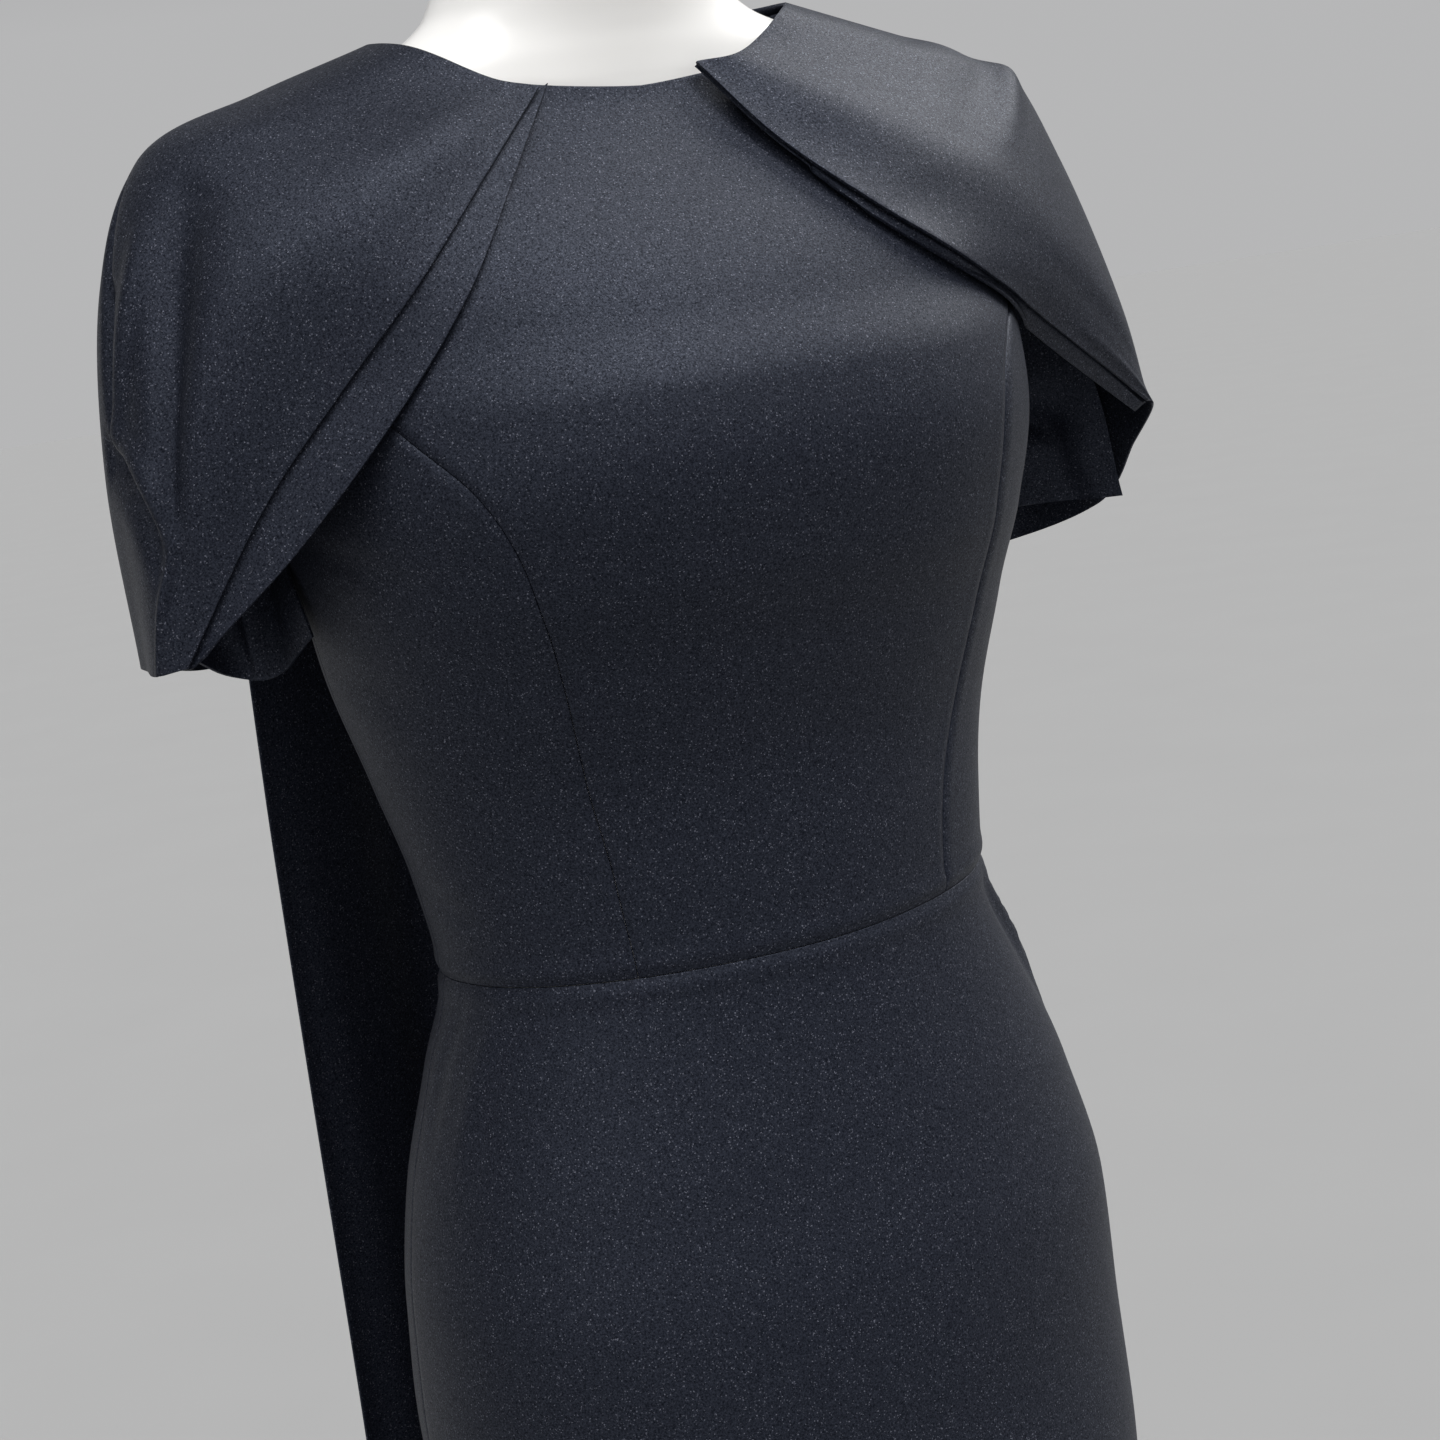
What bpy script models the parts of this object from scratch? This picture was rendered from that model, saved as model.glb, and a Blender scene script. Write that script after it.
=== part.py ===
"""Mermaid evening dress with cape sleeves and a long back cape, worn by a limbless dress form.

Metres, +Z up. The origin is the centre of the stand's underside, on the floor. The dress
faces -Y, and the wearer's right is at -X. An angle of 0 on the body is the centre front,
+90 degrees the wearer's left side and 180 degrees the centre back.
"""
import math

import bmesh
import bpy
import numpy as np
from mathutils import Vector
from mathutils.bvhtree import BVHTree

# Heights above the floor
WAIST = 1.040
KNEE = 0.490
HEM = 0.015
CAPE_HEM = 0.022
NECK_FRONT = 1.385
NECK_SIDE = 1.4135
NECK_BACK = 1.4075
SHOULDER_TIP = 1.3885
ARMHOLE_FRONT = 1.290
UNDERARM = 1.232
FORM_BOTTOM = 0.760
FORM_TOP = 1.500

# Rows of points: up the seams to the armhole, and from there over the shoulder
SEAM_ROWS = 10
YOKE_ROWS = 6
BACK_YOKE_ROWS = 8
SKIRT_ROWS = 11

# Cloth
WALL = 0.0015
SEAM_GAP = 0.0004
LAYER_GAP = 0.0020
FLAP_GAP = 0.0007
FORM_GAP = 0.0020
SHOULDER_SINK = 0.0040
FORM_SINK = 1.7
SIDE_SEAM = 97.0
BAND_DROP_RIGHT = 0.0030
BAND_DROP_LEFT = 0.0038

# Flounce below the knee
FLUTES = 13
FLUTE_DEPTH = 0.030
HEM_HALF_WIDTH = 0.375
HEM_HALF_DEPTH = 0.350

# Stand
BASE_RADIUS = 0.170
BASE_THICKNESS = 0.008
POLE_RADIUS = 0.0125
PLATE_RADIUS = 0.045
TOUCH_GAP = 0.0003

# Outside of the fitted dress: height, half width, depth to the front and to the back,
# centre line's y, and how square the front and the back are (2 is an ellipse)
BODY = np.array([
    (0.490, .1360, .107, .111, -.002, 2.05, 2.05),
    (0.560, .1385, .109, .114, -.004, 2.05, 2.10),
    (0.630, .1440, .113, .119, -.006, 2.10, 2.10),
    (0.700, .1500, .117, .124, -.006, 2.10, 2.10),
    (0.780, .1565, .119, .128, -.005, 2.10, 2.10),
    (0.850, .1590, .119, .130, +.000, 2.10, 2.15),
    (0.900, .1580, .115, .122, -.001, 2.15, 2.10),
    (0.950, .1500, .107, .111, +.002, 2.15, 2.05),
    (1.000, .1350, .097, .097, +.003, 2.10, 2.00),
    (1.040, .1235, .090, .088, +.001, 2.05, 2.00),
    (1.080, .1280, .092, .091, +.003, 2.05, 2.00),
    (1.120, .1370, .098, .097, +.007, 2.10, 2.00),
    (1.160, .1480, .110, .102, +.007, 2.15, 2.00),
    (1.200, .1565, .121, .106, +.002, 2.25, 2.00),
    (1.235, .1630, .126, .109, +.001, 2.30, 2.00),
    (1.265, .1665, .121, .111, +.002, 2.25, 2.00),
    (1.295, .1680, .108, .112, +.006, 2.20, 2.10),
    (1.325, .1730, .092, .108, +.008, 2.20, 2.20),
    (1.350, .1830, .076, .096, +.010, 2.20, 2.20),
    (1.368, .1935, .062, .082, +.011, 2.20, 2.20),
    (1.382, .1850, .052, .070, +.011, 2.15, 2.20),
    (1.394, .1530, .047, .060, +.011, 2.10, 2.20),
    (1.404, .1230, .044, .052, +.011, 2.10, 2.10),
    (1.414, .0920, .041, .047, +.011, 2.10, 2.10),
])

# The form's own sections above the shoulders, up the neck, in the same columns
FORM_NECK = np.array([
    (1.388, .1420, .0430, .0560, .0105, 1.85, 2.10),
    (1.396, .1200, .0430, .0490, .0105, 1.75, 2.05),
    (1.404, .0970, .0430, .0440, .0105, 1.75, 2.00),
    (1.412, .0780, .0435, .0435, .0105, 1.80, 2.00),
    (1.422, .0660, .0445, .0440, .0105, 1.90, 2.00),
    (1.436, .0600, .0450, .0445, .0105, 2.00, 2.00),
    (1.492, .0590, .0450, .0450, .0105, 2.00, 2.00),
    (1.498, .0570, .0430, .0430, .0105, 2.00, 2.00),
    (FORM_TOP, .0530, .0390, .0390, .0105, 2.00, 2.00),
])
FORM_HEIGHTS = (0.774, 0.810, 0.850, 0.890, 0.925, 0.960, 0.990, 1.015, 1.040, 1.070, 1.105, 1.145, 1.180,
                1.210, 1.235, 1.260, 1.290, 1.318, 1.342, 1.358, 1.370, 1.382)
FORM_SIDES = 30

# Form's underside, rounded in below the hips: height and the share of the full section
FORM_FOOT = ((FORM_BOTTOM, 0.86), (0.764, 0.94))

# Princess seam: height and angle from the centre front
PRINCESS = np.array([
    (1.040, 36.5), (1.070, 37.0), (1.120, 37.0), (1.150, 37.0), (1.171, 37.5), (1.194, 39.2),
    (1.209, 40.2), (1.222, 41.8), (1.234, 44.0), (1.243, 46.4), (1.249, 48.6), (1.258, 52.2),
    (1.268, 56.0), (ARMHOLE_FRONT, 63.0),
])
# Armhole edge above the princess seam in front, and above the side seam behind
ARMHOLE_AHEAD = np.array([(ARMHOLE_FRONT, 63.0), (1.305, 59.0), (1.320, 57.0), (1.350, 55.0), (1.368, 54.0),
                          (1.380, 65.0), (SHOULDER_TIP, 90.0)])
ARMHOLE_BEHIND = np.array([(UNDERARM, SIDE_SEAM), (1.262, 110.0), (1.300, 118.0), (1.345, 121.0),
                           (1.368, 124.0), (1.380, 116.0), (SHOULDER_TIP, 90.0)])

# Sleeves, in millimetres: x outward, y to the back, z up. A row is a spoke of the drape, and
# its six points run from the neckline over the shoulder and down the arm to the hem.
SLEEVE_RIGHT = {
    "front fold": ((46, -40, 1387), (81, -59, 1357), (122, -72, 1318), (157, -65, 1282), (190, -55, 1245),
                   (224, -38, 1195)),
    "front": ((66, -33, 1393), (110, -47, 1372), (156, -48, 1350), (192, -44, 1318), (220, -38, 1262),
              (232, -27, 1188)),
    "top": ((93, 0, 1411), (140, 6, 1398), (188, 8, 1381), (214, 4, 1335), (226, 0, 1270), (226, 2, 1187)),
    "outer back": ((88, 25, 1413), (138, 38, 1391), (184, 42, 1365), (208, 38, 1322), (219, 34, 1256),
                   (217, 34, 1185)),
    "back": ((84, 36, 1413), (122, 62, 1382), (155, 80, 1345), (180, 82, 1306), (188, 72, 1242),
             (180, 66, 1176)),
    "back edge": ((79, 42, 1412), (105, 73, 1378), (124, 90, 1342), (136, 88, 1302), (144, 74, 1240),
                  (140, 68, 1186)),
}
BAND_EDGE_RIGHT = ((41, -37, 1388), (70, -58, 1355), (104, -76, 1312), (140, -76, 1272), (180, -62, 1229),
                   (217, -41, 1194))
SLEEVE_LEFT = {
    "front fold": ((24, -40, 1390), (43, -64, 1356), (71, -84, 1326), (110, -88, 1298), (172, -55, 1263),
                   (243, -17, 1224)),
    "front": ((47, -39, 1393), (92, -56, 1366), (140, -60, 1340), (185, -50, 1303), (222, -32, 1262),
              (252, -8, 1219)),
    "top": ((91, -1, 1412), (146, 4, 1395), (197, 4, 1381), (222, 3, 1338), (243, 5, 1272), (256, 14, 1203)),
    "outer back": ((88, 25, 1413), (140, 38, 1391), (188, 42, 1366), (219, 40, 1322), (241, 40, 1256),
                   (252, 42, 1175)),
    "back": ((84, 36, 1413), (122, 62, 1382), (158, 82, 1345), (190, 86, 1302), (210, 84, 1236),
             (216, 84, 1160)),
    "back edge": ((79, 42, 1412), (105, 73, 1378), (124, 90, 1342), (136, 90, 1302), (148, 80, 1240),
                  (154, 78, 1166)),
}
BAND_EDGE_LEFT = ((26, -38, 1387), (44, -60, 1355), (70, -82, 1323), (110, -84, 1295), (168, -57, 1258),
                  (240, -19, 1220))

# Flap inside each sleeve, from the armhole's lower edge to its own hem
FLAP_RIGHT = {
    "underarm": ((159, 20, 1228), (161, 12, 1216), (161, 4, 1202), (158, 3, 1188)),
    "inner": ((152, 45, 1255), (162, 38, 1232), (167, 30, 1205), (168, 24, 1173)),
    "outer": ((145, 66, 1295), (172, 54, 1262), (182, 42, 1220), (180, 34, 1174)),
    "free edge": ((148, 72, 1325), (190, 52, 1296), (208, 34, 1246), (207, 22, 1190)),
}
FLAP_LEFT = {
    "underarm": ((159, 20, 1228), (163, 14, 1214), (166, 10, 1198), (168, 10, 1181)),
    "inner": ((152, 45, 1255), (172, 44, 1238), (186, 42, 1212), (190, 38, 1181)),
    "outer": ((145, 66, 1295), (183, 54, 1268), (212, 44, 1225), (224, 38, 1180)),
    "free edge": ((150, 72, 1325), (206, 46, 1298), (239, 23, 1243), (250, 20, 1179)),
}

# Back cape: height, half width, y at the centre back, y at the outer edge, depth of its folds
CAPE = np.array([
    (1.4075, .0730, .0560, .0440, .0000),
    (1.3940, .0900, .0740, .0640, .0000),
    (1.3800, .1020, .0860, .0780, .0000),
    (1.3600, .1150, .1030, .0930, .0000),
    (1.3350, .1270, .1190, .1040, .0000),
    (1.3000, .1370, .1260, .1080, .0005),
    (1.2500, .1460, .1280, .1060, .0010),
    (1.1800, .1520, .1290, .1040, .0020),
    (1.0800, .1530, .1310, .1060, .0040),
    (0.9600, .1530, .1350, .1080, .0050),
    (0.8500, .1530, .1420, .1100, .0050),
    (0.7000, .1540, .1480, .1140, .0070),
    (0.5500, .1580, .1660, .1240, .0090),
    (0.4400, .1640, .2020, .1500, .0100),
    (0.3000, .1780, .2860, .2280, .0110),
    (0.1600, .1960, .3610, .3000, .0120),
    (CAPE_HEM, .2120, .4260, .3620, .0130),
])
CAPE_FOLDS = 2.5

# Colours: dark navy-black crepe, white form, brushed stand
CREPE = (0.016, 0.018, 0.026, 1)
FORM_WHITE = (0.86, 0.84, 0.81, 1)
STEEL = (0.62, 0.62, 0.63, 1)
ENAMEL = (0.08, 0.08, 0.085, 1)


def slopes(knots, values):
    """Slopes for a smooth curve through the rows that never overshoots them."""
    step = np.diff(knots)
    rise = np.diff(values, axis=0) / step[:, None]
    slope = np.zeros_like(values)
    slope[0] = rise[0]
    slope[-1] = rise[-1]
    before = rise[:-1]
    after = rise[1:]
    same_way = before * after > 0
    mean = 2 * before * after / np.where(same_way, before + after, 1)
    slope[1:-1] = np.where(same_way, mean, 0)
    return slope


def along(table, position):
    """Read a table at any position, its first column, by a smooth curve through its rows."""
    knots = table[:, 0]
    values = table[:, 1:]
    slope = slopes(knots, values)
    position = np.clip(position, knots[0], knots[-1])
    row = np.clip(np.searchsorted(knots, position) - 1, 0, len(knots) - 2)
    step = (knots[row + 1] - knots[row])[..., None]
    t = ((position - knots[row])[..., None]) / step
    start = values[row] * (1 + 2 * t) * (1 - t) ** 2 + slope[row] * step * t * (1 - t) ** 2
    end = values[row + 1] * t * t * (3 - 2 * t) + slope[row + 1] * step * t * t * (t - 1)
    return start + end


def section_points(section, angle, height, offset=0.0):
    """Points at an angle round a section that is part ellipse, part rounded box."""
    half_width, front, back, middle, square_front, square_back = np.moveaxis(section, -1, 0)
    sine = np.sin(angle)
    cosine = np.cos(angle)
    depth = np.where(cosine > 0, front, back) + offset
    power = 2 / np.where(cosine > 0, square_front, square_back)
    x = (half_width + offset) * np.sign(sine) * np.abs(sine) ** power
    y = middle - depth * np.sign(cosine) * np.abs(cosine) ** power
    return np.stack(np.broadcast_arrays(x, y, height), axis=-1)


def bodice_sink(height):
    """The fitted dress lies a little deeper under the sleeves, above the bust."""
    share = np.clip((height - 1.30) / 0.06, 0, 1)
    return -SHOULDER_SINK * share * share * (3 - 2 * share)


def body_point(angle, height, offset=0.0):
    """A point of the dressed body, moved out square to it by an offset."""
    angle, height = np.broadcast_arrays(angle, height)
    turn = 0.01
    rise = 0.0006
    place = section_points(along(BODY, height), angle, height)
    around = (section_points(along(BODY, height), angle + turn, height)
              - section_points(along(BODY, height), angle - turn, height))
    upward = (section_points(along(BODY, height + rise), angle, height + rise)
              - section_points(along(BODY, height - rise), angle, height - rise))
    normal = np.cross(around, upward)
    normal = normal / np.linalg.norm(normal, axis=-1)[..., None]
    return place + normal * np.asarray(offset)[..., None]


def envelope_tree():
    """The body's outside as a search tree, to lay sleeves on it."""
    heights = np.linspace(1.10, 1.414, 110)
    angles = np.radians(np.arange(0, 360, 3))
    grid = body_point(angles[None, :], heights[:, None])
    rows, columns = grid.shape[:2]
    faces = []
    for row in range(rows - 1):
        for column in range(columns):
            here = row * columns + column
            beside = row * columns + (column + 1) % columns
            faces.append((here, beside, beside + columns, here + columns))
    return BVHTree.FromPolygons([Vector(p) for p in grid.reshape(-1, 3)], faces)


BODY_TREE = envelope_tree()


def lay_clear(points, least):
    """Move each point out, square to the body, until it is the least distance off."""
    moved = points.copy()
    for index, (point, distance) in enumerate(zip(points, np.broadcast_to(least, len(points)))):
        nearest, normal, _, _ = BODY_TREE.find_nearest(Vector(point))
        height_off = (Vector(point) - nearest).dot(normal)
        if height_off < distance:
            moved[index] = nearest + normal * distance
    return moved


dress = bpy.data.collections.new("mermaid_evening_dress")


def clear_scene():
    for item in list(bpy.data.objects):
        bpy.data.objects.remove(item, do_unlink=True)
    bpy.context.scene.collection.children.link(dress)


def material(name, colour, roughness, metallic=0.0):
    made = bpy.data.materials.new(name)
    made.use_nodes = True
    shader = made.node_tree.nodes["Principled BSDF"]
    shader.inputs["Base Color"].default_value = colour
    shader.inputs["Roughness"].default_value = roughness
    shader.inputs["Metallic"].default_value = metallic
    return made


def add_object(name, mesh, finish):
    mesh.materials.append(finish)
    mesh.shade_smooth()
    made = bpy.data.objects.new(name, mesh)
    dress.objects.link(made)
    return made


def sheet_mesh(across, along_count, place):
    """A grid whose points are put in place by a function of two shares, 0 to 1."""
    bm = bmesh.new()
    bmesh.ops.create_grid(bm, x_segments=across, y_segments=along_count, size=1)
    shares = np.array([(vert.co.x, vert.co.y) for vert in bm.verts]) * 0.5 + 0.5
    points = place(shares[:, 0], shares[:, 1])
    for vert, point in zip(bm.verts, points):
        vert.co = point
    return bm, shares


def exact_normals(place, shares):
    """Square to the sheet at each point, also along its edges, where two pieces meet."""
    step = 0.004
    across, up = shares.T
    sideways = place(across + step, up) - place(across - step, up)
    onward = place(across, np.minimum(up + step, 1)) - place(across, np.maximum(up - step, 0))
    normals = np.cross(sideways, onward)
    return normals / np.linalg.norm(normals, axis=1)[:, None]


def cloth(name, across, along_count, place, finish, fitted=True):
    """One cut piece: its outside is a sheet, and its wall goes inward from there."""
    bm, shares = sheet_mesh(across, along_count, place)
    bm.normal_update()
    points = np.array([vert.co for vert in bm.verts])
    normals = exact_normals(place, shares) if fitted else np.array([vert.normal for vert in bm.verts])
    outward = points * (1, 1, 0)
    if (normals * outward).sum() < 0:
        normals = -normals
    inward = bm.verts.layers.float_vector.new("inward")
    for vert, normal in zip(bm.verts, normals):
        vert[inward] = Vector(normal) * -WALL
    inner = bmesh.ops.extrude_face_region(bm, geom=bm.faces[:], use_keep_orig=True)["geom"]
    for vert in inner:
        if isinstance(vert, bmesh.types.BMVert):
            vert.co += vert[inward]
    bmesh.ops.recalc_face_normals(bm, faces=bm.faces[:])
    bm.verts.layers.float_vector.remove(inward)
    mesh = bpy.data.meshes.new(name)
    bm.to_mesh(mesh)
    bm.free()
    return add_object(name, mesh, finish)


def seam_angle(height):
    """The angle that half a seam's gap takes up at this height."""
    return SEAM_GAP / 2 / along(BODY, height)[..., 1]


def neck_height(angle):
    """Round neckline: lowest at the centre front, nearly level behind."""
    sine = np.abs(np.sin(angle))
    front = NECK_FRONT + (NECK_SIDE - NECK_FRONT) * sine ** 1.3
    back = NECK_BACK + (NECK_SIDE - NECK_BACK) * sine ** 2
    return np.where(np.cos(angle) > 0, front, back)


FRONT_BOUND = np.vstack([PRINCESS, ARMHOLE_AHEAD[1:], (NECK_SIDE, 90.0)])
BACK_BOUND = np.vstack([(WAIST, SIDE_SEAM), ARMHOLE_BEHIND, (NECK_SIDE, 90.0)])


def bound_angle(bound, height):
    return np.radians(along(bound, height)[..., 0])


def panel_heights(up, seam_share, seam_top, top):
    """Rows up a panel: the same along a seam on both its pieces, then on over the shoulder."""
    low = WAIST + SEAM_GAP / 2
    seam_part = 1 - (1 - np.clip(up / seam_share, 0, 1)) ** 1.3
    yoke_part = 1 - (1 - np.clip((up - seam_share) / max(1 - seam_share, 0.001), 0, 1)) ** 1.2
    return low + (seam_top - low) * seam_part + (top - seam_top) * yoke_part


def on_bodice(angle, height):
    return body_point(angle, height, bodice_sink(height))


FRONT_ROWS = SEAM_ROWS + YOKE_ROWS
BACK_ROWS = SEAM_ROWS + BACK_YOKE_ROWS


def bodice_front(across, up):
    side = across * 2 - 1
    top = neck_height(np.clip(side, -1, 1) * math.pi / 2)
    height = panel_heights(up, SEAM_ROWS / FRONT_ROWS, ARMHOLE_FRONT, top)
    reach = bound_angle(FRONT_BOUND, height) - seam_angle(height)
    return on_bodice(side * reach, height)


def bodice_side(side):
    def place(across, up):
        armhole = ARMHOLE_FRONT - (ARMHOLE_FRONT - UNDERARM) * np.abs(np.sin(across * math.pi / 2)) ** 1.2
        height = panel_heights(up, 1, armhole, armhole)
        gap = seam_angle(height)
        inner = bound_angle(FRONT_BOUND, height) + gap
        outer = math.radians(SIDE_SEAM) - gap
        return on_bodice(side * (inner + (outer - inner) * across), height)
    return place


def bodice_back(side):
    def place(across, up):
        top = neck_height(math.pi - np.clip(across, 0, 1) * math.pi / 2)
        height = panel_heights(up, SEAM_ROWS / BACK_ROWS, UNDERARM, top)
        gap = seam_angle(height)
        reach = math.pi - bound_angle(BACK_BOUND, height) - 2 * gap
        return on_bodice(side * (math.pi - gap - reach * across), height)
    return place


def skirt_piece(start, end):
    """A skirt piece between two angles, its rows closer together over the hips."""
    def place(across, down):
        fallen = 0.62 * down + 0.38 * down ** 2
        height = WAIST - SEAM_GAP / 2 - (WAIST - KNEE - SEAM_GAP) * fallen
        gap = seam_angle(height)
        low = math.radians(start) + gap
        high = math.radians(end) - gap
        return body_point(low + (high - low) * across, height)
    return place


def flounce_ring(angle, down):
    """Flared, fluted ring: its flutes start at the knee seam and deepen to the hem."""
    knee = along(BODY, np.full_like(down, KNEE))
    flare = down ** 1.15
    half_width = knee[..., 0] + (HEM_HALF_WIDTH - knee[..., 0]) * flare
    half_depth = HEM_HALF_DEPTH * flare
    front = knee[..., 1] * (1 - flare) + half_depth
    back = knee[..., 2] * (1 - flare) + half_depth
    middle = knee[..., 3] * (1 - flare)
    uneven = angle + 0.11 * np.sin(2 * angle + 0.7) + 0.04 * np.sin(5 * angle)
    flute = FLUTE_DEPTH * down ** 1.1 * (0.85 + 0.15 * np.sin(3 * angle)) * np.cos(FLUTES * uneven)
    square_front = knee[..., 4] * (1 - flare) + 2 * flare
    square_back = knee[..., 5] * (1 - flare) + 2 * flare
    section = np.stack([half_width, front, back, middle, square_front, square_back], axis=-1)
    height = KNEE - SEAM_GAP / 2 - (KNEE - SEAM_GAP / 2 - HEM) * down
    return section_points(section, angle, height, flute)


def flounce_piece(start, end):
    def place(across, down):
        gap = seam_angle(np.full_like(down, KNEE))
        low = math.radians(start) + gap
        high = math.radians(end) - gap
        return flounce_ring(low + (high - low) * across, down)
    return place


def spline(points, position):
    """A smooth curve through evenly spaced points, read at a share 0 to 1 of its length."""
    last = len(points) - 1
    padded = np.concatenate([2 * points[:1] - points[1:2], points, 2 * points[-1:] - points[-2:-1]])
    spot = np.clip(position, 0, 1) * last
    row = np.minimum(spot.astype(int), last - 1)
    t = (spot - row)[:, None]
    before, start, end, after = (padded[row + step, np.arange(len(row))] if points.ndim == 3
                                 else padded[row + step] for step in range(4))
    curve = (2 * start + (end - before) * t + (2 * before - 5 * start + 4 * end - after) * t ** 2
             + (3 * start - before - 3 * end + after) * t ** 3)
    return curve / 2


def drape_points(spokes, around, out):
    """Points of a sleeve: first out along every spoke, then round across the spokes."""
    stations = [spline(np.array(spoke, float) / 1000, out) for spoke in spokes]
    return spline(np.stack(stations), around)


def sleeve_place(spokes, drop, side):
    def place(around, out):
        points = drape_points(spokes.values(), around, out)
        above_band = 1 - np.clip((around - 0.16) / 0.16, 0, 1)
        least = bodice_sink(points[:, 2]) + WALL + LAYER_GAP + drop * above_band
        return lay_clear(points, least) * (side, 1, 1)
    return place


def drape_normals(spokes, around, out):
    step = 0.01
    ahead = drape_points(spokes, around + step, out) - drape_points(spokes, around, out)
    onward = (drape_points(spokes, around, np.minimum(out + step, 1))
              - drape_points(spokes, around, out - step))
    normal = np.cross(onward, ahead)
    return normal / np.linalg.norm(normal, axis=1)[:, None]


def band_place(spokes, edge, drop, side):
    """Turned-back band: its outer edge shows, its inner edge lies under the sleeve's fold."""
    tucked = 0.10

    def place(across, out):
        under = np.clip((across - 0.6) / 0.4, 0, 1) * tucked
        above = drape_points(spokes.values(), under, out)
        above = lay_clear(above, bodice_sink(above[:, 2]) + WALL + LAYER_GAP + drop)
        covered = above - drape_normals(spokes.values(), under, out) * drop
        outer = spline(np.array(edge, float) / 1000, out)
        share = np.clip(across / 0.6, 0, 1)[:, None]
        points = outer + (covered - outer) * share
        least = bodice_sink(points[:, 2]) + WALL + LAYER_GAP
        return lay_clear(points, least) * (side, 1, 1)
    return place


def flap_place(spokes, side):
    """Flap under a sleeve: its top edge is sewn in along the lower armhole."""
    def place(around, out):
        points = drape_points(spokes.values(), around, out)
        least = bodice_sink(points[:, 2]) + WALL + FLAP_GAP
        return lay_clear(points, least) * (side, 1, 1)
    return place


def cape_place(side):
    """Half of the cape: its top edge is sewn in at the neckline, and the rest hangs free."""
    def place(across, down):
        height = CAPE[0, 0] + (CAPE_HEM - CAPE[0, 0]) * down ** 1.25
        width, middle, edge, fold = np.moveaxis(along(CAPE[::-1], height), -1, 0)
        x = SEAM_GAP / 2 + (width - SEAM_GAP / 2) * across
        y = middle + (edge - middle) * across ** 2
        y = y + fold * (1 - np.cos(across * CAPE_FOLDS * 2 * math.pi)) / 2 * (1 - 0.3 * across)
        sewn_in = np.where(height > 1.39, bodice_sink(height) + WALL + SEAM_GAP, -1)
        return lay_clear(np.stack([x, y, height], axis=-1), sewn_in) * (side, 1, 1)
    return place


def form_body(finish):
    """Limbless torso: a closed skin just inside the dress, with a plain neck and a rounded foot."""
    angles = np.linspace(0, 2 * math.pi, FORM_SIDES + 1)
    foot = body_point(angles, FORM_HEIGHTS[0], -WALL - FORM_GAP)
    rings = [foot * (share, share, 0) + (0, 0, height) for height, share in FORM_FOOT]
    for height in FORM_HEIGHTS:
        rings.append(body_point(angles, height, FORM_SINK * bodice_sink(height) - WALL - FORM_GAP))
    for row in FORM_NECK:
        rings.append(section_points(np.tile(row[1:], (FORM_SIDES + 1, 1)), angles, row[0]))
    rings = np.array(rings)

    def place(around, up):
        ring = np.rint(up * (len(rings) - 1)).astype(int)
        return rings[ring, np.rint(around * FORM_SIDES).astype(int)]

    bm, _ = sheet_mesh(FORM_SIDES, len(rings) - 1, place)
    bmesh.ops.remove_doubles(bm, verts=bm.verts[:], dist=0.00005)
    bmesh.ops.holes_fill(bm, edges=[edge for edge in bm.edges if edge.is_boundary], sides=0)
    bmesh.ops.recalc_face_normals(bm, faces=bm.faces[:])
    mesh = bpy.data.meshes.new("form_body")
    bm.to_mesh(mesh)
    bm.free()
    add_object("form_body", mesh, finish)


def turned(name, profile, finish, sides):
    """A solid of revolution from an outline of radius and height, read from top to bottom."""
    bm = bmesh.new()
    verts = [bm.verts.new((radius, 0, height)) for radius, height in profile]
    for first, second in zip(verts, verts[1:]):
        bm.edges.new((first, second))
    mesh = bpy.data.meshes.new(name)
    bm.to_mesh(mesh)
    bm.free()
    piece = add_object(name, mesh, finish)
    screw = piece.modifiers.new("turn", "SCREW")
    screw.steps = sides
    screw.render_steps = sides
    screw.use_merge_vertices = True
    screw.merge_threshold = 0.00001
    return piece


clear_scene()
crepe = material("crepe", CREPE, 0.55)
form_white = material("form_white", FORM_WHITE, 0.45)
steel = material("steel", STEEL, 0.3, 1.0)
enamel = material("enamel", ENAMEL, 0.4)

# Stand: a flat round foot, and a pole with a plate that carries the torso
pole_foot = BASE_THICKNESS + TOUCH_GAP
pole_top = FORM_BOTTOM - TOUCH_GAP
turned("form_base", ((0, BASE_THICKNESS), (BASE_RADIUS - 0.002, BASE_THICKNESS),
                     (BASE_RADIUS, BASE_THICKNESS - 0.002), (BASE_RADIUS, 0), (0, 0)), enamel, 48)
turned("form_pole", ((0, pole_top), (PLATE_RADIUS, pole_top), (PLATE_RADIUS, pole_top - 0.006),
                     (POLE_RADIUS + 0.004, pole_top - 0.010), (POLE_RADIUS, pole_top - 0.030),
                     (POLE_RADIUS, pole_foot + 0.030), (POLE_RADIUS + 0.010, pole_foot + 0.022),
                     (POLE_RADIUS + 0.018, pole_foot + 0.004), (POLE_RADIUS + 0.018, pole_foot),
                     (0, pole_foot)), steel, 24)
form_body(form_white)

# Bodice: centre front between princess seams, two side fronts, two backs
cloth("bodice_front", 16, FRONT_ROWS, bodice_front, crepe)
cloth("bodice_side_front_left", 5, SEAM_ROWS, bodice_side(+1), crepe)
cloth("bodice_side_front_right", 5, SEAM_ROWS, bodice_side(-1), crepe)
cloth("bodice_back_left", 9, BACK_ROWS, bodice_back(+1), crepe)
cloth("bodice_back_right", 9, BACK_ROWS, bodice_back(-1), crepe)

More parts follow.
